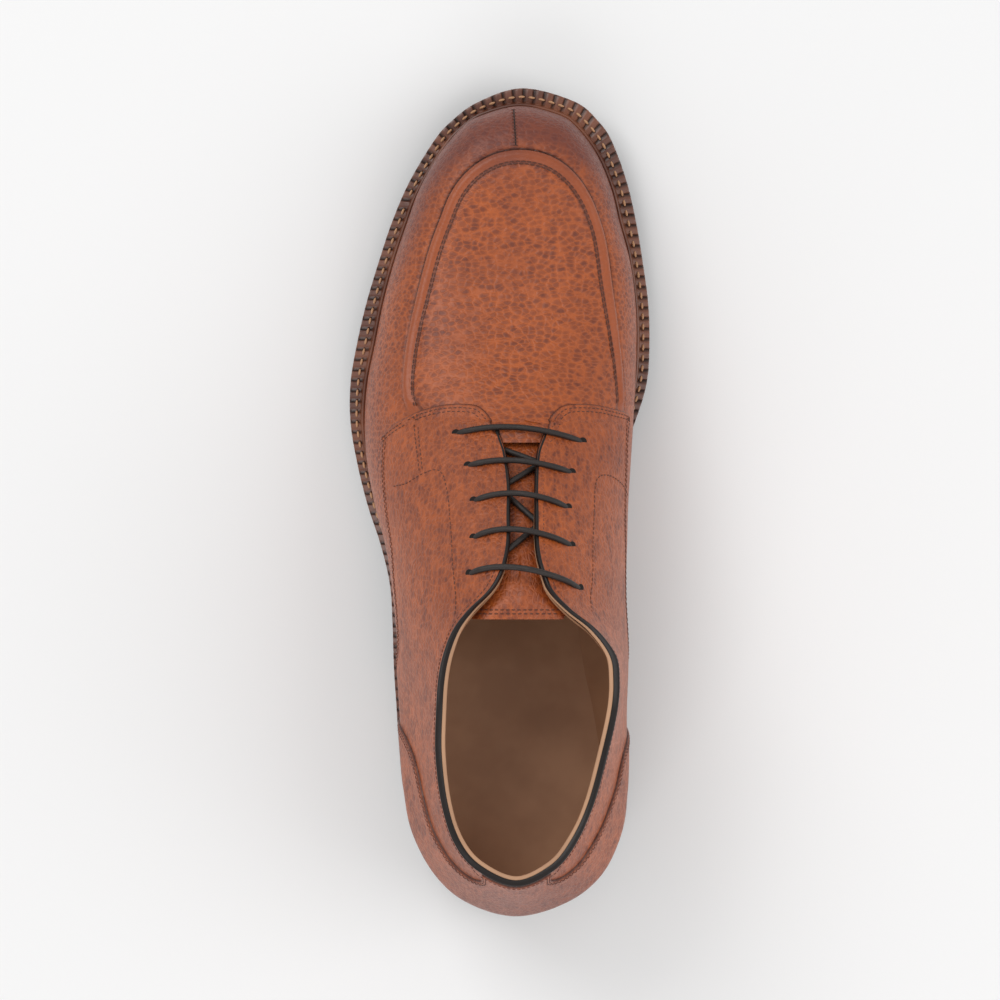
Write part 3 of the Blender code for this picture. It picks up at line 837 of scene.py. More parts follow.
def leather(name, colours, cells, burnish=None, plain=None, painted_edge_shade=None):
    """Pebbled leather, burnished at toe and heel. The last three give fields from 0 to 1 for a look."""
    look = Look(name, Specular_IOR_Level=0.44, Coat_Roughness=0.32, Sheen_Roughness=0.4)
    edge, tone, away = pebbles(look, cells)
    pebble = edge.between(0.0, 0.26)
    dot = (away + (look.noise(1500.0, 1.0) - 0.5) * 0.35).between(0.78, 0.22)
    tone_value = look.node("SeparateColor", {}, {0: tone}, 0)
    patchy = look.noise(70.0, 2.0).between(0.25, 0.70) * 0.35 + 0.75
    streak = look.noise(520.0, 3.0, (1.0, 0.30, 0.30)).between(0.36, 0.66) * cells.streaks
    spot = (dot * cells.dots + pebble * 0.22 + streak) * (tone_value * 0.45 + 0.62) * patchy
    cover = 1.0 if plain is None else 1.0 - plain(look)
    spot = (spot * cover).unit() if plain else spot.unit()
    cloud = look.noise(38.0, 3.0).between(0.35, 0.68)
    pale = cloud.mixed(rgba(colours.pale), rgba(colours.warm))
    base = spot.mixed(pale, rgba(colours.dark))
    if plain:
        base = plain(look).mixed(base, rgba(colours.plain))
    dusk = antique(look) if burnish is None else (antique(look) + burnish(look)).unit()
    base = (dusk * 0.75).mixed(base, rgba(colours.burnished))
    # Painted shade in the apron's seam and its stitch grooves, and at the cut edges of the leathers on top
    if painted_edge_shade:
        base = painted_edge_shade(look).mixed(base, rgba(colours.edge))
    fine = look.noise(1500.0, 2.0)
    height = pebble * cover + fine * 0.15
    rough = spot * 0.10 + 0.40 + fine * 0.08
    look.wear(Base_Color=base, Roughness=rough, Normal=look.dent(height, 0.22, 0.8))
    look.shader.inputs["Coat Weight"].default_value = 0.20
    return look.material


def antique(look):
    """Darker polish at the tip of the toe and the back of the heel, 0 to 1."""
    along = look.axis(1)
    mottled = (look.noise(55.0, 3.0) - 0.5) * 26.0
    toe = (along + mottled).between(-112.0, -146.0)
    heel = (along + mottled).between(126.0, 160.0)
    return (toe + heel * 0.8).unit()


Hues = namedtuple("Hues", "pale warm dark burnished plain edge")


def hues(settings):
    """The leather's tones from the three colours that a user sets."""
    pale, dark, burnished = (tuple(getattr(settings, name)) for name in ("pale", "dark", "burnished"))
    return Hues(
        pale=pale,
        warm=mixture(pale, dark, 0.22),
        dark=dark,
        burnished=burnished,
        plain=mixture(pale, burnished, 0.45),
        # The colour of the painted shade along the apron's seam and the cut edges of the leathers on top
        edge=mixture(dark, (0.01, 0.004, 0.003), 0.6),
    )


def colour_setting(**values):
    """A colour that a user may change."""
    return bpy.props.FloatVectorProperty(subtype="COLOR", size=3, min=0, max=1, **values)


def length_setting(**values):
    """A length that a user may change, in metres."""
    return bpy.props.FloatProperty(subtype="DISTANCE", unit="LENGTH", precision=5, **values)


class LeatherColours(bpy.types.PropertyGroup):
    """Colours of the upper's leather"""

    pale: colour_setting(name="Pale", description="Creases of the grain", default=(0.430, 0.092, 0.014))
    dark: colour_setting(name="Dark", description="Polished pebbles", default=(0.125, 0.022, 0.008))
    burnished: colour_setting(name="Burnished", description="Toe and heel", default=(0.110, 0.022, 0.016))
    lining: colour_setting(name="Lining", description="Inside leather", default=(0.50, 0.28, 0.16))
    lift: length_setting(
        name="Leather lift",
        description="How far a leather on top stands proud",
        default=0.0009,
        min=0.0003,
        max=0.002,
    )
    roll: length_setting(
        name="Apron roll",
        description="Height of the rolled seam round the apron",
        default=0.0016,
        min=0.0,
        max=0.003,
    )


class ThreadSettings(bpy.types.PropertyGroup):
    """Threads and lace"""

    thread: colour_setting(name="Thread", description="Stitches of the upper", default=(0.09, 0.025, 0.013))
    welt_thread: colour_setting(
        name="Welt thread",
        description="Stitches of the welt",
        default=(0.50, 0.27, 0.14),
    )
    lace: colour_setting(name="Lace", description="Waxed cord", default=(0.016, 0.010, 0.008))
    radius: length_setting(
        name="Thread radius",
        description="Half the thickness of a stitch",
        default=0.00026,
        min=0.0001,
        max=0.001,
    )
    lace_radius: length_setting(
        name="Lace radius",
        description="Half the thickness of the lace",
        default=0.0011,
        min=0.0005,
        max=0.002,
    )


class SoleSettings(bpy.types.PropertyGroup):
    """Welt, sole and heel"""

    welt: colour_setting(name="Welt", description="Welt leather", default=(0.165, 0.050, 0.026))
    stack: colour_setting(
        name="Stack",
        description="Midsole and heel leather",
        default=(0.16, 0.055, 0.026),
    )
    rubber: colour_setting(
        name="Rubber",
        description="Outsole and top piece",
        default=(0.024, 0.024, 0.027),
    )
    notch_pitch: length_setting(
        name="Notch pitch",
        description="Distance between the welt's stitches",
        default=0.0039,
        min=0.002,
        max=0.008,
    )


class StageSettings(bpy.types.PropertyGroup):
    """Floor, lights and camera"""

    floor: colour_setting(name="Floor", description="Pale floor", default=(0.86, 0.86, 0.86))
    height: length_setting(
        name="Camera height",
        description="From the floor up to the camera",
        default=2.6,
        min=0.5,
        max=6.0,
    )
    focal: bpy.props.FloatProperty(
        name="Focal length",
        description="On a 36 mm wide sensor",
        subtype="DISTANCE_CAMERA",
        unit="CAMERA",
        default=248.6,
        min=20.0,
        max=400.0,
    )


def cap_v(u):
    """The length up to the rim or ridge at u."""
    return profile_at(u)[2][-1]


def seam_line(rows, side):
    """The seam's smooth line as (u, v) rows on the lateral side, or mirrored to the medial side."""
    line = smooth_line(rows, 10)
    if side == "medial":
        line[:, 0] = 2 * COUNTER_MIDDLE_U - line[:, 0]
    return line


def quarter_line(side):
    """The front edge of the quarter: along the facing's front, then back and down to the welt."""
    rows = []
    for distance, y in FACING_FRONT:
        u = y if side == "lateral" else medial_u(y)
        rows.append((y, v_at_distance(u, distance)))
    for y, height in QUARTER_SEAM:
        u = y if side == "lateral" else medial_u(y)
        rows.append((y, v_at_height(u, height)))
    rows[-1] = (rows[-1][0], -2.0)
    return seam_line([(rows[0][0] + 0.2, rows[0][1] + 9.0), *rows], side)


def counter_line():
    """The counter's edge from the lateral welt over the side, up the strap to the collar."""
    rows = [(u, v_at_height(u, height)) for u, height in COUNTER_SEAM]
    rows[0] = (rows[0][0], -2.0)
    rows[-1] = (rows[-1][0], cap_v(rows[-1][0]) + 6.0)
    return rows


# Where walking bends the vamp: place along the shoe, slant, depth and half width of each trough
Trough = namedtuple("Trough", "middle slant depth width")
CREASES = (
    Trough(-52.0, 0.10, 0.35, 3.2),
    Trough(-60.5, -0.06, 0.22, 3.0),
    Trough(-44.5, 0.05, 0.25, 2.6),
)
CREASE_MIDDLE_X = -8.0
CREASE_REACH = 34.0


def crease(y, x):
    """Soft troughs that walking bends into the vamp, in mm."""
    total = 0.0
    for trough in CREASES:
        across = (y - trough.middle - trough.slant * x) / trough.width
        aside = (x - CREASE_MIDDLE_X) / CREASE_REACH
        total -= trough.depth * math.exp(-across * across) * math.exp(-(aside**2))
    return total


def settings_of(context):
    return context.scene.derby


def ring_us():
    """Even u along the whole ring, denser round the toe."""
    toe = medial_u(TOE_POLE[1])
    return [
        *np.arange(TOE_POLE[1], HEEL_POLE[1], 1.6),
        *np.arange(HEEL_POLE[1], medial_u(HEEL_POLE[1]), 1.8),
        *np.arange(medial_u(HEEL_POLE[1]), toe, 1.6),
        *np.arange(toe, toe + TOE_TURN * math.pi - 0.5, 1.3),
    ]


class Piece(bpy.types.Operator):
    """A step that makes some of the shoe's pieces"""

    bl_options = {"REGISTER", "UNDO"}

    def execute(self, context):
        self.make(settings_of(context))
        return {"FINISHED"}


# The rolled seam round the apron: how high it stands, as a share, by the distance inside the outer line
ROLL_WIDTH = 4.3
ROLL = steps(
    (
        (-1.2, 0.0),
        (-0.35, -0.25),
        (0.0, -0.32),
        (0.5, 0.4),
        (1.3, 0.85),
        (2.3, 1.0),
        (3.4, 0.85),
        (ROLL_WIDTH, 0.45),
    )
)
ROLL_INSIDE = steps(
    (
        (ROLL_WIDTH, 0.45),
        (4.8, 0.28),
        (5.2, 0.38),
        (5.7, 0.26),
        (6.6, 0.42),
        (12.0, 0.25),
        (22.0, 0.0),
    )
)
ROLL_SCORES = (-0.8, -0.3, 0.0, 0.5, ROLL_WIDTH, 5.2)
# The roll fades out between these, in front of the facings
ROLL_ENDS_Y = -33.0
ROLL_FULL_Y = -37.0
# Closes the apron's loop behind its line, under the facings
APRON_BACK = ((-45.8, 20.0), (36.3, 20.0))
APRON_LOWEST_V = 20.0
VAMP_ROWS = 84


class DERBY_OT_upper(Piece):
    """Vamp, apron and the lining behind them"""

    bl_idname = "derby.upper"
    bl_label = "Upper"

    def make(self, settings):
        us = ring_us()
        points, vs = surface(us, VAMP_ROWS)
        out = ways_out(points, closed=True)
        line = np.array([surface_point(u, v)[0] for u, v in apron_line()])
        loop = np.vstack([line[:, :2], APRON_BACK])
        within = inside(points[..., :2], loop) & (vs > APRON_LOWEST_V)
        apron = np.where(within, 1.0, -1.0) * nearest(points, line)
        closed = [np.concatenate([rows, rows[:1]]) for rows in (points, out, apron)]
        hide = Hide(closed[0], closed[1], apron=closed[2])
        hide.score("apron", ROLL_SCORES)
        tall = settings.leather.roll / MM
        for vert in hide.bm.verts:
            x, y = vert.co.x / MM, vert.co.y / MM
            apron = vert[hide.fields["apron"]]
            share = ROLL(apron) if apron < ROLL_WIDTH else ROLL_INSIDE(apron)
            proud = smoothstep(ROLL_ENDS_Y, ROLL_FULL_Y, y) * tall * share + crease(y, x)
            vert.co += vert[hide.out] * proud * MM
        fields = {"painted_edge_shade": apron_shadow, "plain": apron_band, "burnish": toe_polish}
        look = leather("vamp leather", hues(settings.leather), APRON_CELLS, **fields)
        hide.finish("vamp_and_apron", [look], ["upper"], 60)
        inner = points - WALL * out
        lining = grid_bmesh(np.vstack([inner, inner[:1]]))
        bmesh.ops.reverse_faces(lining, faces=lining.faces)
        skin = lining_leather(settings, "lining leather")
        finish_piece("lining", lining, [skin], ["upper"], 60, recalc=False)


def lining_leather(settings, name):
    """Plain leather with soft streaks."""
    skin = Look(name, Roughness=0.62)
    streak = skin.noise(60.0, 3.0, (1.0, 1.0, 0.25)).between(0.3, 0.7)
    colour = tuple(settings.leather.lining)
    skin.wear(Base_Color=streak.mixed(rgba(colour), rgba(mixture(colour, (0.2, 0.09, 0.05), 0.25))))
    return skin.material


APRON_EVENING = 60


@lru_cache(maxsize=None)
def apron_line():
    """The apron's outer line as (u, v), with an even rise and fall over the shoulder of the toe."""
    plan = resampled(smooth_line(APRON_LINE, 8), 240)
    uvs = np.array([plan_uv(x, y) for x, y in plan])
    drop = np.array([cap_v(float(u)) for u in uvs[:, 0]]) - uvs[:, 1]
    for _ in range(APRON_EVENING):
        drop[1:-1] = (drop[:-2] + drop[1:-1] + drop[2:]) / 3
    uvs[:, 1] = np.array([cap_v(float(u)) for u in uvs[:, 0]]) - drop
    return uvs


def plan_uv(x, y):
    """The (u, v) of a point of the upper face seen from above."""
    if y >= TOE_POLE[1]:
        u = y if x > spine_x(y) else medial_u(y)
        return u, v_at_distance(u, abs(x - spine_x(y)))
    dx, dy = x - TOE_POLE[0], y - TOE_POLE[1]
    angle = math.atan2(dy, dx) % (2 * math.pi)
    u = medial_u(TOE_POLE[1]) + (angle - math.pi) * TOE_TURN
    return u, v_at_distance(u, math.hypot(dx, dy))


def apron_shadow(look):
    """Dark in the seam round the apron and along its stitches."""
    apron = look.field("apron")
    front = look.axis(1).between(-58.0, -84.0) * 0.75 + 0.25
    seam = apron.between(-0.9, -0.1) * apron.between(0.7, 0.15) * front
    stitches = apron.between(4.2, 4.7) * apron.between(6.3, 5.4)
    return (seam + stitches * 0.55).unit()


def apron_band(look):
    """The smooth rolled band between the seam and the stitches."""
    apron = look.field("apron")
    return apron.between(-0.2, 0.6) * apron.between(5.2, 4.4) * 0.62


def toe_polish(look):
    """More polish on the wall in front of the apron."""
    return look.field("apron").between(1.0, -14.0) * look.axis(1).between(-58.0, -112.0) * 0.80


def edge_shadow(look):
    """Darker at the cut edge of a leather."""
    return look.field("edge").between(0.9, 0.1) * 0.9


# The rounded edge of a leather on top: its share of the lift by the distance in from the edge, the
# distances at which the sheet gets edges of its own, and how deep its skirt goes into the leather below
EDGE_LOWEST = 0.45
EDGE_RISE = steps(((0.0, EDGE_LOWEST), (0.25, 0.8), (0.6, 1.0)))
EDGE_SCORES = (0.0, 0.25, 0.6, 1.3)
SKIRT_DEPTH = 0.25
OVERLAY_ROWS = 96


def make_overlay(name, us, line, loop, lift, look, replaced=(), below_rim=0.0):
    """A leather on top: the part of the sheet inside the loop, lifted, with a rounded edge."""
    points, vs = surface(us, OVERLAY_ROWS)
    out = ways_out(points)
    flat = np.stack([np.broadcast_to(np.array(us)[:, None], vs.shape), vs], axis=-1)
    edge = signed(flat, line, loop)
    if below_rim:
        edge = np.minimum(edge, vs[:, -1:] - below_rim - vs)
    hide = Hide(points, out, edge=edge)
    hide.score("edge", EDGE_SCORES)
    hide.trim("edge")
    hide.lift(lambda edge: lift * EDGE_RISE(edge))
    hide.skirt(lift * EDGE_LOWEST + SKIRT_DEPTH)
    hide.finish(name, [look], replaced, 50)


# The stitched line between each facing's stay and the quarter, seen from above as (x, y)
STAY_LATERAL = (
    (38.5, -5.0),
    (33.7, -6.1),
    (27.9, -9.5),
    (23.0, -11.0),
    (20.3, -9.0),
    (18.9, -3.6),
    (17.9, 3.6),
    (16.8, 18.1),
    (15.8, 30.0),
    (15.5, 41.0),
)
STAY_MEDIAL = (
    (-46.2, -1.5),
    (-45.0, -4.5),
    (-42.5, -7.2),
    (-39.5, -8.9),
    (-36.0, -8.8),
    (-34.2, -5.5),
    (-33.6, 4.0),
    (-33.0, 18.0),
    (-32.6, 30.0),
    (-32.6, 41.0),
)
# The stitched tab in the lateral facing's outer corner
TAB_LATERAL = ((30.8, -31.5), (30.0, -24.0), (29.0, -16.0), (28.3, -10.2))


def stay_line(side):
    """The stitched line between the facing's stay and the quarter."""
    rows = STAY_LATERAL if side == "lateral" else STAY_MEDIAL
    return smooth_line([plan_uv(x, y) for x, y in rows], 10)


# Where the overlays' sheets start and end round the shoe, and lines well clear of them in (u, v)
OVERLAY_STEP = 1.1
QUARTER_FROM_U = -40.0
QUARTER_BACK_GAP = 8.0
BEHIND_QUARTER = 5.0
COUNTER_FROM_U = 74.0
BELOW_WELT = -9.0
ABOVE_COLLAR = 40.0
OVER_ALL = 260.0
# The counter's strap stops this far below the collar's edge
STRAP_DROP = 0.9


class DERBY_OT_quarters(Piece):
    """The quarters with their facings, laid over the vamp"""

    bl_idname = "derby.quarters"
    bl_label = "Quarters"

    def make(self, settings):
        tones = hues(settings.leather)
        look = leather("quarter leather", tones, WALL_CELLS, painted_edge_shade=edge_shadow)
        lift = settings.leather.lift / MM
        for side in ("lateral", "medial"):
            line = quarter_line(side)
            us = np.arange(QUARTER_FROM_U, COUNTER_MIDDLE_U - QUARTER_BACK_GAP, OVERLAY_STEP)
            far = COUNTER_MIDDLE_U + BEHIND_QUARTER
            if side == "medial":
                us = 2 * COUNTER_MIDDLE_U - us[::-1]
                far = COUNTER_MIDDLE_U - BEHIND_QUARTER
            front, back = line[0][0], line[-1][0]
            corners = [(back, BELOW_WELT), (far, BELOW_WELT), (far, OVER_ALL), (front, OVER_ALL)]
            outline = np.vstack([line, corners])
            make_overlay(f"{side}_quarter", us, line, outline, lift, look)


class DERBY_OT_counter(Piece):
    """The outer heel counter with its strap up to the collar"""

    bl_idname = "derby.counter"
    bl_label = "Heel counter"

    def make(self, settings):
        look = leather("counter leather", hues(settings.leather), WALL_CELLS, painted_edge_shade=edge_shadow)
        lateral = seam_line(counter_line(), "lateral")
        medial = seam_line(counter_line(), "medial")
        us = np.arange(COUNTER_FROM_U, 2 * COUNTER_MIDDLE_U - COUNTER_FROM_U, OVERLAY_STEP)
        line = np.vstack([lateral, medial[::-1]])
        line[len(lateral) - 1 : len(lateral) + 1, 1] += ABOVE_COLLAR
        loop = np.vstack([line, [(line[-1][0], BELOW_WELT), (line[0][0], BELOW_WELT)]])
        lift = 2 * settings.leather.lift / MM
        replaced = ["heel_counter"]
        make_overlay("heel_counter", us, line, loop, lift, look, replaced, STRAP_DROP)


# Below this a cross product with the upright is too short to start a cord's frame from
UPRIGHT = 0.2


def tube(name, path, radius, look, replaced=(), sides=10):
    """Round cord along a path of points, in mm."""
    tangents = np.gradient(path, axis=0)
    tangents /= np.linalg.norm(tangents, axis=1)[:, None]
    normal = np.cross(tangents[0], (0.0, 0.0, 1.0))
    if np.linalg.norm(normal) < UPRIGHT:
        normal = np.cross(tangents[0], (0.0, 1.0, 0.0))
    angles = np.linspace(0.0, 2 * math.pi, sides + 1)
    rows = []
    for point, tangent in zip(path, tangents):
        normal = normal - tangent * normal.dot(tangent)
        normal /= np.linalg.norm(normal)
        other = np.cross(tangent, normal)
        rows.append(point + radius * (np.cos(angles)[:, None] * normal + np.sin(angles)[:, None] * other))
    bm = grid_bmesh(np.array(rows))
    close_ends(bm)
    bmesh.ops.recalc_face_normals(bm, faces=bm.faces)
    finish_piece(name, bm, [look], replaced, 60, recalc=False)


def rim_us():
    """Stations of the collar and throat edge, from the lateral throat round the heel to the medial one."""
    return np.arange(THROAT_FRONT + 2.0, 2 * COUNTER_MIDDLE_U - THROAT_FRONT - 2.0, 1.2)


# Sections round the edge: along the leather, out of it, and whether the point lies on the quarter
BINDING = (
    (-1.0, 0.05, 1),
    (-0.7, 0.25, 1),
    (-0.1, 0.3, 1),
    (0.3, -0.1, 1),
    (0.45, -0.5, 0),
    (0.3, -1.0, 0),
    (-0.4, -1.2, 0),
)
LINING_EDGE = (
    (-0.5, -0.7, 0),
    (0.05, -1.0, 0),
    (0.2, -1.6, 0),
    (0.05, -0.1 - WALL, 0),
    (-0.5, -0.25 - WALL, 0),
    (-1.5, -0.15 - WALL, 0),
    (-2.2, 0.6 - WALL, 0),
)
BINDING_BROWN = rgba((0.010, 0.006, 0.005))


class DERBY_OT_binding(Piece):
    """The dark binding round the collar and the gap of the facings"""

    bl_idname = "derby.binding"
    bl_label = "Binding"

    def make(self, settings):
        look = Look("binding leather", Base_Color=BINDING_BROWN, Roughness=0.36, Specular_IOR_Level=0.35)
        look.wear(Normal=look.dent(look.noise(900.0), 0.05))
        proud = settings.leather.lift / MM
        bm = round_rim(BINDING, proud)
        finish_piece("collar_binding", bm, [look.material], (), 70)
        skin = lining_leather(settings, "lining edge leather")
        finish_piece("lining_edge", round_rim(LINING_EDGE, proud), [skin], (), 70)


def round_rim(section, proud):
    """A strip with the section given, along the edge of collar and facings."""
    rows = []
    for u in rim_us():
        v = cap_v(float(u))
        edge, out = surface_point(float(u), v)
        inner, _ = surface_point(float(u), v - 1.5)
        run = (edge - inner) / np.linalg.norm(edge - inner)
        row = [edge + along * run + (away + proud * above) * out for along, away, above in section]
        rows.append(smooth_line(row, 3))
    return grid_bmesh(np.array(rows))


# How far the vamp's back edge stands off the form, by y: it dives under the first lace bar
THROAT_LIFT = steps(((-32.0, -0.25), (-29.5, 0.10), (-27.5, 0.12), (-25.0, -0.5), (-21.0, -2.4)))
THROAT_LENGTH = (-32.0, -21.0)
THROAT_WIDTH = (-20.5, 4.5)
# The tongue comes free of the facings from here, and its crown falls off to both sides with the square
# of the distance from its middle
CROWN_FROM_Y = 20.0
CROWN_FALL = 0.004
CROWN_BLEND = 2.0
# The tongue starts to narrow here, up to its top edge, where this much is off each side
NARROWING_FROM_Y = 34.0
NARROWING = 4.0


class DERBY_OT_tongue(Piece):
    """The tongue under the facings"""

    bl_idname = "derby.tongue"
    bl_label = "Tongue"

    def make(self, settings):
        ys = np.linspace(*TONGUE_SPAN, 70)
        rows = []
        for y in ys:
            halves = [tongue_half(float(y), way) for way in (1.0, -1.0)]
            outer = np.vstack([halves[0][0], halves[1][0][::-1][1:]])
            inner = np.vstack([halves[0][1], halves[1][1][::-1][1:]])
            ring = np.vstack([outer, inner[::-1], outer[:1]])
            rows.append(ring)
        bm = grid_bmesh(np.array(rows))
        close_ends(bm)
        look = leather("tongue leather", hues(settings.leather), STAY_CELLS)
        finish_piece("tongue", bm, [look], ["tongue"], 50)
        rows = []
        for y in np.linspace(*THROAT_LENGTH, 14):
            lift = THROAT_LIFT(y)
            rows.append([bridge_point((x, y), lift) for x in np.linspace(*THROAT_WIDTH, 26)])
        look = leather("throat leather", hues(settings.leather), APRON_CELLS)
        finish_piece("vamp_throat", grid_bmesh(np.array(rows)[::-1]), [look], (), 60)


def tongue_half(y, way):
    """Outer and inner points of half the tongue at y, from its edge to its middle."""
    u = y if way > 0 else medial_u(y)
    station = on_ring(u)
    room = GAP + 0.2 + (LACE_ROOM - GAP) * smoothstep(-34.0, -24.0, y)
    wall = wall_at(station)
    half = TONGUE_HALF_WIDTH - NARROWING * smoothstep(NARROWING_FROM_Y, TONGUE_SPAN[1], y) ** 2
    distances = half * (1 - np.linspace(0.0, 1.0, 22))
    heights = np.array([form_height(station, wall, d) for d in distances])
    line = np.stack([distances, heights], axis=1)
    run = np.gradient(line, axis=0)
    run /= np.linalg.norm(run, axis=1)[:, None]
    faces = []
    for deep in (0.0, TONGUE_THICKNESS):
        moved = line + (WALL + room + deep) * np.stack([-run[:, 1], run[:, 0]], axis=1)
        moved[-1, 0] = 0.0
        z = moved[:, 1]
        if y > CROWN_FROM_Y:
            crown = tongue_crown(y) - deep - CROWN_FALL * distances**2
            z = 0.5 * (z + crown - np.sqrt((z - crown) ** 2 + CROWN_BLEND))
        x = spine_x(y) + way * moved[:, 0]
        faces.append(np.stack([x, np.full_like(x, y), z], axis=1))
    return faces


# The eyelets that the lace goes through in turn, L lateral and R medial, numbered from the toe
LACE_ORDER = ("L4", "R4", "L2", "R2", "L1", "R1", "L3", "R3", "L5", "R5")
# How deep the lace's middle lies under the form at an eyelet and along its runs under the facings
LACE_BELOW = WALL + 1.4
LACE_RUN_BELOW = WALL + 1.25
# How fast a bar rises out of its eyelets, and how deep it starts in them
LACE_STEEPNESS = 3.0
LACE_DIP = 0.4
# Size of the dark discs of painted shade that stand for the eyelet holes
EYELET_RADIUS = 1.75
EYELET_TOP_RADIUS = 1.5
EYELET_THICKNESS = 0.16


def eyelet(name):
    bar = LACE_BARS[int(name[1]) - 1]
    return np.array(bar.lateral if name[0] == "L" else bar.medial)


def lace_path(lift):
    """Through all eyelets in turn: over the facings along the bars, under them between the bars."""
    points = []
    for first, second in zip(LACE_ORDER[::2], LACE_ORDER[1::2]):
        start, end = eyelet(first), eyelet(second)
        middle = np.array(LACE_BARS[int(first[1]) - 1].middle)
        control = 2 * middle - 0.5 * (start + end)
        points.append(surface_point(*plan_uv(*start), -LACE_BELOW)[0])
        for t in np.linspace(0.0, 1.0, 15):
            plan = (1 - t) ** 2 * start + 2 * t * (1 - t) * control + t**2 * end
            risen = min(1.0, LACE_STEEPNESS * math.sin(math.pi * t))
            points.append(bridge_point(plan, lift * risen - LACE_DIP * (1 - risen)))
        points.append(surface_point(*plan_uv(*end), -LACE_BELOW)[0])
        onward = following(second)
        if onward is not None:
            for t in (0.2, 0.4, 0.6, 0.8):
                points.append(bridge_point(end + t * (onward - end), -LACE_RUN_BELOW))
    return smooth_line(points, 5)


def following(name):
    """The eyelet that the lace comes up through next, after it has gone down through this one."""
    later = LACE_ORDER.index(name) + 1
    return eyelet(LACE_ORDER[later]) if later < len(LACE_ORDER) else None


def bridge_point(plan, lift):
    """Over the form at a plan point, straight across the gap between the facings."""
    x, y = plan
    station = Station((spine_x(y), y), (math.copysign(1.0, x - spine_x(y)), 0.0))
    wall = wall_at(station)
    distance = abs(x - spine_x(y))
    height = form_height(station, wall, distance)
    near = form_height(station, wall, max(distance - 0.5, 0.0))
    far = form_height(station, wall, distance + 0.5)
    rise = np.array([near - far, 1.0])
    rise /= np.linalg.norm(rise)
    aside = station.way[0] * (distance + lift * rise[0])
    return np.array([station.foot[0] + aside, y, height + lift * rise[1]])


class DERBY_OT_lace(Piece):
    """The lace, and dark discs of painted shade in the eyelet holes that it goes through"""

    bl_idname = "derby.lace"
    bl_label = "Lace"

    def make(self, settings):
        threads = settings.threads
        look = Look("waxed lace", Base_Color=rgba(tuple(threads.lace)), Roughness=0.55)
        look.wear(Normal=look.dent(look.noise(1100.0, 1.0), 0.12))
        lift = threads.lace_radius / MM + settings.leather.lift / MM + 0.15
        bars = [f"lace_bar_{number}" for number in range(1, 6)]
        tube("lace", lace_path(lift), threads.lace_radius / MM, look.material, bars, 12)
        # Near-black discs on the leather: painted shade inside each eyelet hole
        dark = Look("eyelet shadow", Base_Color=(0.006, 0.003, 0.002, 1.0), Roughness=0.9)
        bm = bmesh.new()
        for bar in LACE_BARS:
            for plan in (bar.lateral, bar.medial):
                point, out = surface_point(*plan_uv(*plan), settings.leather.lift / MM + 0.05)
                turn = Vector(out).to_track_quat("Z", "Y").to_matrix().to_4x4()
                turn.translation = Vector(point) * MM
                bmesh.ops.create_cone(
                    bm,
                    cap_ends=True,
                    segments=20,
                    radius1=EYELET_RADIUS * MM,
                    radius2=EYELET_TOP_RADIUS * MM,
                    depth=EYELET_THICKNESS * MM,
                    matrix=turn,
                )
        finish_piece("eyelets", bm, [dark.material], (), 30)


def section_rows(us, section):
    """One section of a sole's layer for each u, in mm."""
    rows = []
    for u in us:
        station = on_ring(float(u))
        rows.append([place(station, r, z) for r, z in section(station)])
    return rows


def closed_layer(name, section, look):
    """A layer of the sole that stands for the solid of the same name."""
    rows = section_rows(ring_us(), section)
    bm = grid_bmesh(np.array([*rows, rows[0]]))
    finish_piece(name, bm, [look], [name], 35)


SLAB_SHARES = (0.0, 0.3, 0.6, 0.85)


def slab_section(low, high, inset, edge):
    """A section of a flat layer whose lower outer corner is rounded."""

    def section(station):
        out = reach(SOLE_OUTLINE, station) - inset
        rows = [(share * out, low(y_at(station, share * out))) for share in SLAB_SHARES]
        base = low(y_at(station, out))
        rows += [(out - edge, base), (out - 0.3 * edge, base + 0.3 * edge), (out, base + edge)]
        top = high(y_at(station, out))
        rows += [(out, top - 0.25), (out - 0.25, top)]
        rows += [(share * out, high(y_at(station, share * out))) for share in reversed(SLAB_SHARES)]
        return rows

    return section


def welt_sizes(station):
    out = reach(SOLE_OUTLINE, station)
    wall = wall_at(station)
    share = (LIP_HEIGHT + GAP) / (wall.belly_z - wall.feather_z)
    lip = lower_wall(wall, min(share, 1.0))[0] + GAP + 0.1
    return out, wall, lip, wall.feather + GAP + 0.1


def welt_profile(station):
    """The flat strip and its storm lip against the upper."""
    out, wall, lip, foot = welt_sizes(station)
    top = welt_top(y_at(station, wall.feather))
    base = midsole_top(y_at(station, wall.feather)) + 0.1
    outer_top = welt_top(y_at(station, out))
    outer_base = midsole_top(y_at(station, out)) + 0.1
    inner = wall.feather - 6.0
    crest = top + LIP_HEIGHT
    return [
        (inner, base),
        (out - 0.5, outer_base),
        (out, outer_base + 0.4),
        (out, outer_top - 0.7),
        (out - 0.2, outer_top - 0.2),
        (out - 0.8, outer_top),
        (foot + LIP_WIDTH + 0.9, top + 0.05),
        (foot + LIP_WIDTH + 0.4, top + 0.35),
        (lip + LIP_WIDTH, crest - 0.9),
        (lip + LIP_WIDTH * 0.8, crest - 0.25),
        (lip + LIP_WIDTH * 0.45, crest),
        (lip + 0.1, crest - 0.2),
        (foot, top),
        (inner, top),
        (inner, base),
    ]


def stacked(name, colour, seed):
    """Polished stacked leather with fine layers and burnished streaks."""
    look = Look(name, Coat_Roughness=0.25)
    look.shader.inputs["Coat Weight"].default_value = 0.35
    layers = look.noise(900.0, 2.0, (0.05, 0.05, 1.0))
    streak = look.noise(26.0 + seed, 3.0, (1.0, 1.0, 0.35)).between(0.35, 0.65)
    pale = mixture(colour, (0.45, 0.16, 0.06), 0.22)
    dark = mixture(colour, (0.02, 0.01, 0.008), 0.62)
    base = streak.mixed(rgba(dark), rgba(pale))
    base = (layers.between(0.4, 0.7) * 0.35).mixed(base, rgba(dark))
    look.wear(Base_Color=base, Roughness=layers * 0.2 + 0.26, Normal=look.dent(layers, 0.06))
    return look.material


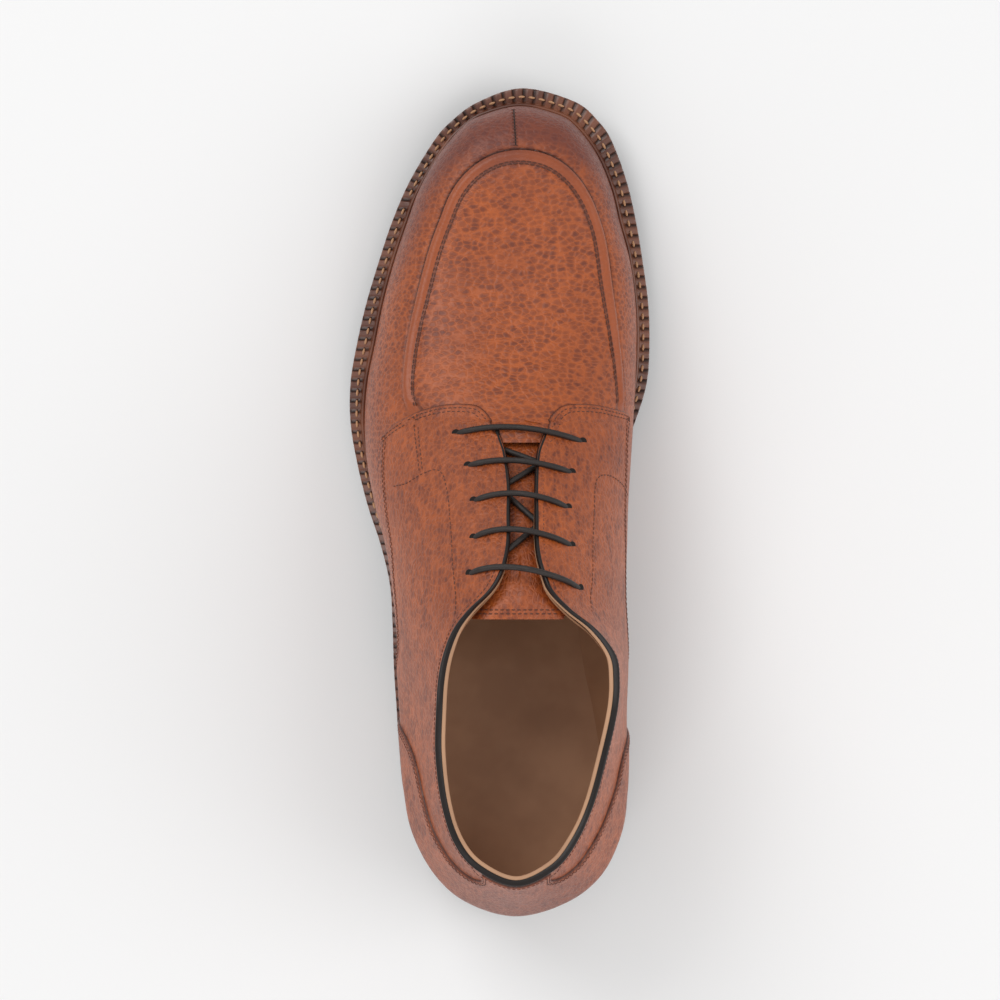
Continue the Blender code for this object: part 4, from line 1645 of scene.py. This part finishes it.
def rubber(name, colour):
    look = Look(name, Base_Color=rgba(colour))
    fine = look.noise(1400.0, 2.0)
    look.wear(Roughness=fine * 0.15 + 0.5, Normal=look.dent(fine, 0.05))
    return look.material


# How deep each section between two stitches is notched, and for three corners of the welt's profile how
# far they go inwards and how much painted shade darkens them
NOTCH_DEPTHS = (0.0, 0.0, 0.0, 0.0, 0.55, 1.0)
NOTCHED = {4: (0.25, 1.0), 5: (0.0, 1.0), 6: (0.0, 0.7)}
NOTCH_DROP = 0.75
NOTCH_SHADE = (0.012, 0.006, 0.005)
WELT_STITCH_LIFT = 0.18


class DERBY_OT_welt(Piece):
    """The notched welt, its storm lip and its stitches"""

    bl_idname = "derby.welt"
    bl_label = "Welt"

    def make(self, settings):
        sole = settings.sole
        look = Look("welt leather", Coat_Roughness=0.3)
        look.shader.inputs["Coat Weight"].default_value = 0.3
        cloud = look.noise(60.0, 3.0).between(0.35, 0.65)
        welt = tuple(sole.welt)
        pale = mixture(welt, (0.5, 0.2, 0.08), 0.12)
        base = cloud.mixed(rgba(mixture(welt, (0, 0, 0), 0.35)), rgba(pale))
        # Painted shade in the notches between the welt's stitches
        base = look.field("notch_shading").mixed(base, rgba(NOTCH_SHADE))
        look.wear(Base_Color=base, Roughness=cloud * 0.12 + 0.34)
        along = self.lengths_round()
        count = int(along[-1] / (sole.notch_pitch / MM))
        rows, notches = [], []
        for number, u in enumerate(self.spread(along, count * len(NOTCH_DEPTHS))):
            station = on_ring(float(u))
            section = welt_profile(station)
            cut = NOTCH_DEPTHS[number % len(NOTCH_DEPTHS)]
            marks = [0.0] * len(section)
            for corner, (inwards, shade) in NOTCHED.items():
                r, z = section[corner]
                section[corner] = (r - inwards * cut, z - NOTCH_DROP * cut)
                marks[corner] = shade * cut
            notches.append(marks)
            rows.append([place(station, r, z) for r, z in section])
        bm = grid_bmesh(np.array([*rows, rows[0]]))
        notch_shading = bm.verts.layers.float.new("notch_shading")
        for vert, mark in zip(bm.verts, np.array([*notches, notches[0]]).ravel()):
            vert[notch_shading] = mark
        finish_piece("welt", bm, [look.material], ["welt"], 35)
        spots = []
        for u in self.spread(along, count)[:-1]:
            station = on_ring(float(u))
            out, _, _, foot = welt_sizes(station)
            middle = 0.5 * (out + foot + LIP_WIDTH) - 0.3
            spots.append(place(station, middle, welt_top(y_at(station, middle)) + WELT_STITCH_LIFT))
        spots = np.array([*spots, spots[0]])
        thread = Look("welt thread", Base_Color=rgba(tuple(settings.threads.welt_thread)), Roughness=0.7)
        up = np.tile((0.0, 0.0, 1.0), (len(spots), 1))
        stitch_piece("welt_stitches", [(spots, up)], 2.6, 0.55, thread.material)

    def lengths_round(self):
        """Lengths along the middle of the welt's strip, all the way round."""
        line = []
        for u in (*ring_us(), TOE_POLE[1]):
            station = on_ring(float(u))
            line.append(place(station, reach(SOLE_OUTLINE, station) - 2.0, 0.0))
        return lengths_along(np.array(line))

    def spread(self, along, count):
        """The u of so many places at even lengths round the welt."""
        us = np.array([*ring_us(), medial_u(TOE_POLE[1]) + TOE_TURN * math.pi])
        return np.interp(np.linspace(0.0, along[-1], count + 1)[:-1], along, us)


class DERBY_OT_sole(Piece):
    """Midsole, rubber outsole and insole"""

    bl_idname = "derby.sole"
    bl_label = "Sole"

    def make(self, settings):
        brown = stacked("midsole leather", tuple(settings.sole.stack), 3.0)
        black = rubber("outsole rubber", tuple(settings.sole.rubber))
        section = slab_section(under_z, outsole_top, 0.3, 1.0)
        closed_layer("outsole", section, black)
        section = slab_section(lambda y: outsole_top(y) + 0.05, midsole_top, 0.5, 0.4)
        closed_layer("midsole", section, brown)
        sock = Look("insole leather", Roughness=0.6)
        cloud = sock.noise(45.0, 3.0).between(0.35, 0.65)
        lining = tuple(settings.leather.lining)
        sock.wear(Base_Color=cloud.mixed(rgba(lining), rgba(mixture(lining, (0.25, 0.12, 0.06), 0.3))))
        closed_layer("insole", insole_section, sock.material)


def insole_section(station):
    """The board inside the upper, from below and then back over its top."""
    wall = wall_at(station)
    share = (GAP + INSOLE_THICKNESS) / (wall.belly_z - wall.feather_z)
    out = lower_wall(wall, share)[0] - WALL + 0.3
    rows = []
    for height, shares in ((GAP, (0.0, 0.3, 0.6, 1.0)), (GAP + INSOLE_THICKNESS, (0.985, 0.6, 0.3, 0.0))):
        rows += [(share * out, welt_top(y_at(station, share * out)) + height) for share in shares]
    return rows


# The rounded front edge of the heel's tread, and the joint between two lifts
TREAD_RADIUS = 4.0
LIFT_GAP = 0.06


def level(z):
    """A height that is the same for every y."""
    return lambda y: z


def tread_z(y):
    """Height of the heel's underside, rounded up at its front."""
    short = min(max(TREAD_RADIUS - (y - BREAST_Y), 0.0), TREAD_RADIUS)
    return TREAD_RADIUS - math.sqrt(TREAD_RADIUS**2 - short**2)


class DERBY_OT_heel(Piece):
    """Stacked leather lifts and the rubber top piece"""

    bl_idname = "derby.heel"
    bl_label = "Heel"

    def make(self, settings):
        black = rubber("top piece rubber", tuple(settings.sole.rubber))
        front = BREAST_Y + TREAD_RADIUS * (1 - np.cos(np.linspace(0.0, math.pi / 2, 7)))
        top = level(HEEL_TOP_PIECE)
        self.block("heel_top_piece", front, tread_z, top, 1.4, 0.6, black, "heel_rubber")
        base = HEEL_TOP_PIECE
        for number, height in enumerate(HEEL_LIFTS, 1):
            low, base = base + LIFT_GAP, base + height
            look = stacked(f"heel lift leather {number}", tuple(settings.sole.stack), 9.0 * number)
            name = f"heel_lift_{number}"
            self.block(name, [BREAST_Y], level(low), level(base), 1.2, 0.2, look, "heel_leather")
        look = stacked("heel lift leather 3", tuple(settings.sole.stack), 31.0)
        low = base + LIFT_GAP

        def wedge_top(y):
            return under_z(y) - LIFT_GAP

        self.block("heel_lift_3", [BREAST_Y], level(low), wedge_top, 1.0, 0.2, look, "heel_leather")

    def block(self, name, front, low, high, inset, edge, look, slot):
        ys = [*front, *np.arange(front[-1] + 1.6, HEEL_POLE[1], 2.0)]
        turn = np.arange(HEEL_POLE[1], medial_u(HEEL_POLE[1]), 2.0)
        us = [*ys, *turn, *[medial_u(y) for y in reversed(ys)]]
        section = slab_section(low, high, inset, edge)
        bm = grid_bmesh(np.array(section_rows(us, section)))
        close_ends(bm)
        finish_piece(name, bm, [look], [name], 35)


STITCH_FLATNESS = 0.7


def stitch_piece(name, rows, length, radius, look):
    """Short rounded threads at the points of each row, laid along it; rows are (points, ways out)."""
    template = bmesh.new()
    bmesh.ops.create_uvsphere(template, u_segments=6, v_segments=4, radius=1.0)
    shape = np.array([vert.co[:] for vert in template.verts])
    faces = [[vert.index for vert in face.verts] for face in template.faces]
    template.free()
    all_points, all_faces = [], []
    for points, outs in rows:
        tangents = np.gradient(points, axis=0)
        for point, tangent, out in zip(points, tangents, outs):
            tangent = tangent / max(np.linalg.norm(tangent), 1e-9)
            side = np.cross(out, tangent)
            side /= max(np.linalg.norm(side), 1e-9)
            out = np.cross(tangent, side)
            axes = np.stack([side * radius, out * radius * STITCH_FLATNESS, tangent * length / 2])
            first = len(all_points) * len(shape)
            all_points.append((shape @ axes + point) * MM)
            all_faces += [[first + index for index in face] for face in faces]
    mesh = bpy.data.meshes.new(name)
    mesh.from_pydata(np.vstack(all_points).tolist(), [], all_faces)
    bm = bmesh.new()
    bm.from_mesh(mesh)
    bpy.data.meshes.remove(mesh)
    finish_piece(name, bm, [look], (), 180, weld=False)


def even_row(uvs, pitch, lift):
    """Evenly spaced points on the form along a (u, v) line, with their ways out."""
    return spread_out(uvs, [lift] * len(uvs), pitch, pitch / 2)


def spread_out(uvs, lifts, pitch, first):
    """Points on the form along a (u, v) line with a lift for each, a pitch apart, and their ways out."""
    found = [surface_point(float(u), float(v), lift) for (u, v), lift in zip(uvs, lifts)]
    points, outs = (np.array(part) for part in zip(*found))
    along = lengths_along(points)
    wanted = np.arange(first, along[-1], pitch)

    def at_wanted(part):
        return np.stack([np.interp(wanted, along, part[:, k]) for k in range(3)], axis=1)

    return at_wanted(points), at_wanted(outs)


def beside(uvs, offset):
    """The (u, v) line moved sideways by offset, to the left of its run when positive."""
    run = np.gradient(uvs, axis=0)
    run /= np.maximum(np.linalg.norm(run, axis=1)[:, None], 1e-9)
    return uvs + offset * np.stack([-run[:, 1], run[:, 0]], axis=1)


def kept(uvs, low=4.5, high=2.0):
    """The part of a line that keeps these distances from the welt and the collar."""
    return uvs[np.array([low < v < cap_v(float(u)) - high for u, v in uvs])]


# Distances of the stitches: between two, above their leather, and of a seam's two rows from its edge
PITCH = 1.9
ON_TOP = 0.05
SEAM_OFFSETS = (1.3, 2.7)
APRON_STITCH_OFFSETS = (4.75, 5.65)
APRON_STITCHES_END_Y = -34.5
COLLAR_STITCH_DROP = 2.6
STRAP_FROM_U = 147.0
# The seam down the middle of the toe, which leans a little to the medial side as it goes up
TOE_SEAM_SPAN = (-145.0, -130.3)
TOE_SEAM_X = -5.1
TOE_SEAM_LEAN = 0.8 / 15.0
# A very short run across the toe seam, so that the threads on it lie across
ACROSS = np.array([(-0.01, 0.0, 0.0), (0.01, 0.0, 0.0)])


class DERBY_OT_stitching(Piece):
    """All seams of the upper that are sewn through"""

    bl_idname = "derby.stitching"
    bl_label = "Stitching"

    def make(self, settings):
        threads = settings.threads
        thread = Look("upper thread", Base_Color=rgba(tuple(threads.thread)), Roughness=0.6).material
        radius = threads.radius / MM
        top = settings.leather.lift / MM
        roll = settings.leather.roll / MM
        rows = []
        for offset in APRON_STITCH_OFFSETS:
            uvs = np.array([(u, v + offset) for u, v in apron_line()])
            points = np.array([surface_point(u, v)[0] for u, v in uvs])
            rows.append(even_row(uvs[points[:, 1] < APRON_STITCHES_END_Y], 2.1, roll * 0.34 + ON_TOP))
        stitch_piece("apron_stitches", rows, 1.75, radius * 1.15, thread)
        rows = []
        for side, way in (("lateral", 1.0), ("medial", -1.0)):
            line = quarter_line(side)
            for offset in SEAM_OFFSETS:
                rows.append(even_row(kept(beside(line, offset * way)), PITCH, top + ON_TOP))
            rows.append(even_row(kept(stay_line(side), 4.0, 3.0), PITCH, top + ON_TOP))
        tab = smooth_line([plan_uv(x, y) for x, y in TAB_LATERAL], 10)
        rows += [even_row(beside(tab, offset), PITCH, top + ON_TOP) for offset in (-0.7, 0.7)]
        stitch_piece("quarter_stitches", rows, 1.5, radius, thread)
        self.tongue_rows(thread, radius)
        rows = []
        for side, way in (("lateral", -1.0), ("medial", 1.0)):
            line = seam_line(counter_line(), side)
            for offset in SEAM_OFFSETS:
                rows.append(even_row(kept(beside(line, offset * way)), PITCH, 2 * top + ON_TOP))
        stitch_piece("counter_stitches", rows, 1.5, radius, thread)
        uvs = np.array([(u, cap_v(float(u)) - COLLAR_STITCH_DROP) for u in rim_us()[4:-4]])
        on_strap = [STRAP_FROM_U < u < 2 * COUNTER_MIDDLE_U - STRAP_FROM_U for u, _ in uvs]
        lifts = [(2 * top if strap else top) + ON_TOP for strap in on_strap]
        collar = [spread_out(uvs, lifts, 1.8, 1.0)]
        stitch_piece("collar_stitches", collar, 1.4, radius * 0.9, thread)
        self.toe_seam(thread, radius)

    def tongue_rows(self, thread, radius):
        """Two rows across the tongue below its top edge."""
        rows = []
        for y in (39.6, 41.0):
            halves = [tongue_half(y, way)[0] for way in (1.0, -1.0)]
            line = np.vstack([halves[0][4:], halves[1][4:][::-1][1:]])
            line = resampled(line, int(lengths_along(line)[-1] / PITCH))
            rows.append((line + (0.0, 0.0, ON_TOP), np.tile((0.0, 0.0, 1.0), (len(line), 1))))
        stitch_piece("tongue_stitches", rows, 1.5, radius, thread)

    def toe_seam(self, thread, radius):
        """Small cross stitches along the seam down the middle of the toe."""
        ys = np.arange(*TOE_SEAM_SPAN, 1.25)
        lean = TOE_SEAM_LEAN * (ys - TOE_SEAM_SPAN[0])
        found = [surface_point(*plan_uv(x, y), ON_TOP) for x, y in zip(TOE_SEAM_X - lean, ys)]
        points, outs = (np.array(part) for part in zip(*found))
        rows = [(point + ACROSS, np.array([out, out])) for point, out in zip(points, outs)]
        stitch_piece("toe_cross_stitches", rows, 1.9, radius, thread)
        seam = Look("toe seam", Base_Color=(0.02, 0.008, 0.006, 1.0), Roughness=0.8).material
        line = resampled(np.array([p - 0.12 * o for p, o in zip(points, outs)]), 30)
        tube("toe_seam", line, 0.3, seam, (), 8)


# Soft lamps of the studio, in metres and watts
Lamp = namedtuple("Lamp", "name spot size energy")
LAMPS = (
    Lamp("key", (0.9, -1.1, 1.6), (1.2, 1.2), 15.0),
    Lamp("fill", (-1.3, 0.2, 1.3), (1.2, 1.6), 9.0),
    Lamp("back", (0.3, 1.5, 1.2), (1.4, 0.9), 8.0),
)
LAMP_AIM = (0.0, 0.0, 0.04)
FLOOR_HALF_WIDTH = 6.0
WORLD_STRENGTH = 0.60


class DERBY_OT_stage(Piece):
    """Pale floor, soft studio lights and the camera above"""

    bl_idname = "derby.stage"
    bl_label = "Stage"

    def make(self, settings):
        stage = settings.stage
        bm = bmesh.new()
        bmesh.ops.create_grid(bm, x_segments=1, y_segments=1, size=FLOOR_HALF_WIDTH)
        mesh = bpy.data.meshes.new("floor")
        bm.to_mesh(mesh)
        bm.free()
        floor = bpy.data.objects.new("floor", mesh)
        look = Look("floor", Base_Color=rgba(tuple(stage.floor)), Roughness=0.9, Specular_IOR_Level=0.1)
        mesh.materials.append(look.material)
        bpy.context.scene.collection.objects.link(floor)
        for lamp in LAMPS:
            light = bpy.data.lights.new(lamp.name, "AREA")
            light.shape = "RECTANGLE"
            light.size, light.size_y = lamp.size
            light.energy = lamp.energy
            stand = bpy.data.objects.new(lamp.name, light)
            stand.location = lamp.spot
            aim = Vector(LAMP_AIM) - Vector(lamp.spot)
            stand.rotation_euler = aim.to_track_quat("-Z", "Y").to_euler()
            bpy.context.scene.collection.objects.link(stand)
        world = bpy.data.worlds.new("studio")
        world.use_nodes = True
        background = world.node_tree.nodes["Background"]
        background.inputs["Color"].default_value = (1.0, 1.0, 1.0, 1.0)
        background.inputs["Strength"].default_value = WORLD_STRENGTH
        bpy.context.scene.world = world
        bpy.context.scene.view_settings.view_transform = "Standard"
        camera = bpy.data.cameras.new("camera")
        camera.lens = stage.focal
        camera.sensor_width = 36.0
        camera.clip_end = 20.0
        eye = bpy.data.objects.new("camera", camera)
        eye.location = (0.0, 0.0, stage.height)
        eye.rotation_euler = (0.0, 0.0, math.pi)
        bpy.context.scene.collection.objects.link(eye)
        bpy.context.scene.camera = eye


class DerbySettings(bpy.types.PropertyGroup):
    """Everything a user may change"""

    leather: bpy.props.PointerProperty(name="Leather", description="Upper leather", type=LeatherColours)
    threads: bpy.props.PointerProperty(name="Threads", description="Stitches and lace", type=ThreadSettings)
    sole: bpy.props.PointerProperty(name="Sole", description="Welt, sole and heel", type=SoleSettings)
    stage: bpy.props.PointerProperty(name="Stage", description="Floor and camera", type=StageSettings)


STEPS = (
    DERBY_OT_upper,
    DERBY_OT_quarters,
    DERBY_OT_counter,
    DERBY_OT_binding,
    DERBY_OT_tongue,
    DERBY_OT_lace,
    DERBY_OT_welt,
    DERBY_OT_sole,
    DERBY_OT_heel,
    DERBY_OT_stitching,
    DERBY_OT_stage,
)


class DERBY_PT_panel(bpy.types.Panel):
    """Settings and steps of the derby"""

    bl_label = "Apron Toe Derby"
    bl_idname = "DERBY_PT_panel"
    bl_space_type = "VIEW_3D"
    bl_region_type = "UI"
    bl_category = "Derby"

    def draw(self, context):
        settings = settings_of(context)
        for group in (settings.leather, settings.threads, settings.sole, settings.stage):
            box = self.layout.box()
            for key in type(group).__annotations__:
                box.prop(group, key)
        for step in STEPS:
            self.layout.operator(step.bl_idname)


GROUPS = (LeatherColours, ThreadSettings, SoleSettings, StageSettings, DerbySettings)


def register():
    for kind in (*GROUPS, *STEPS, DERBY_PT_panel):
        bpy.utils.register_class(kind)
    bpy.types.Scene.derby = bpy.props.PointerProperty(type=DerbySettings)


def unregister():
    del bpy.types.Scene.derby
    for kind in reversed((*GROUPS, *STEPS, DERBY_PT_panel)):
        bpy.utils.unregister_class(kind)


def main():
    register()
    for step in STEPS:
        group, name = step.bl_idname.split(".")
        getattr(getattr(bpy.ops, group), name)()


if __name__ == "__main__":
    main()
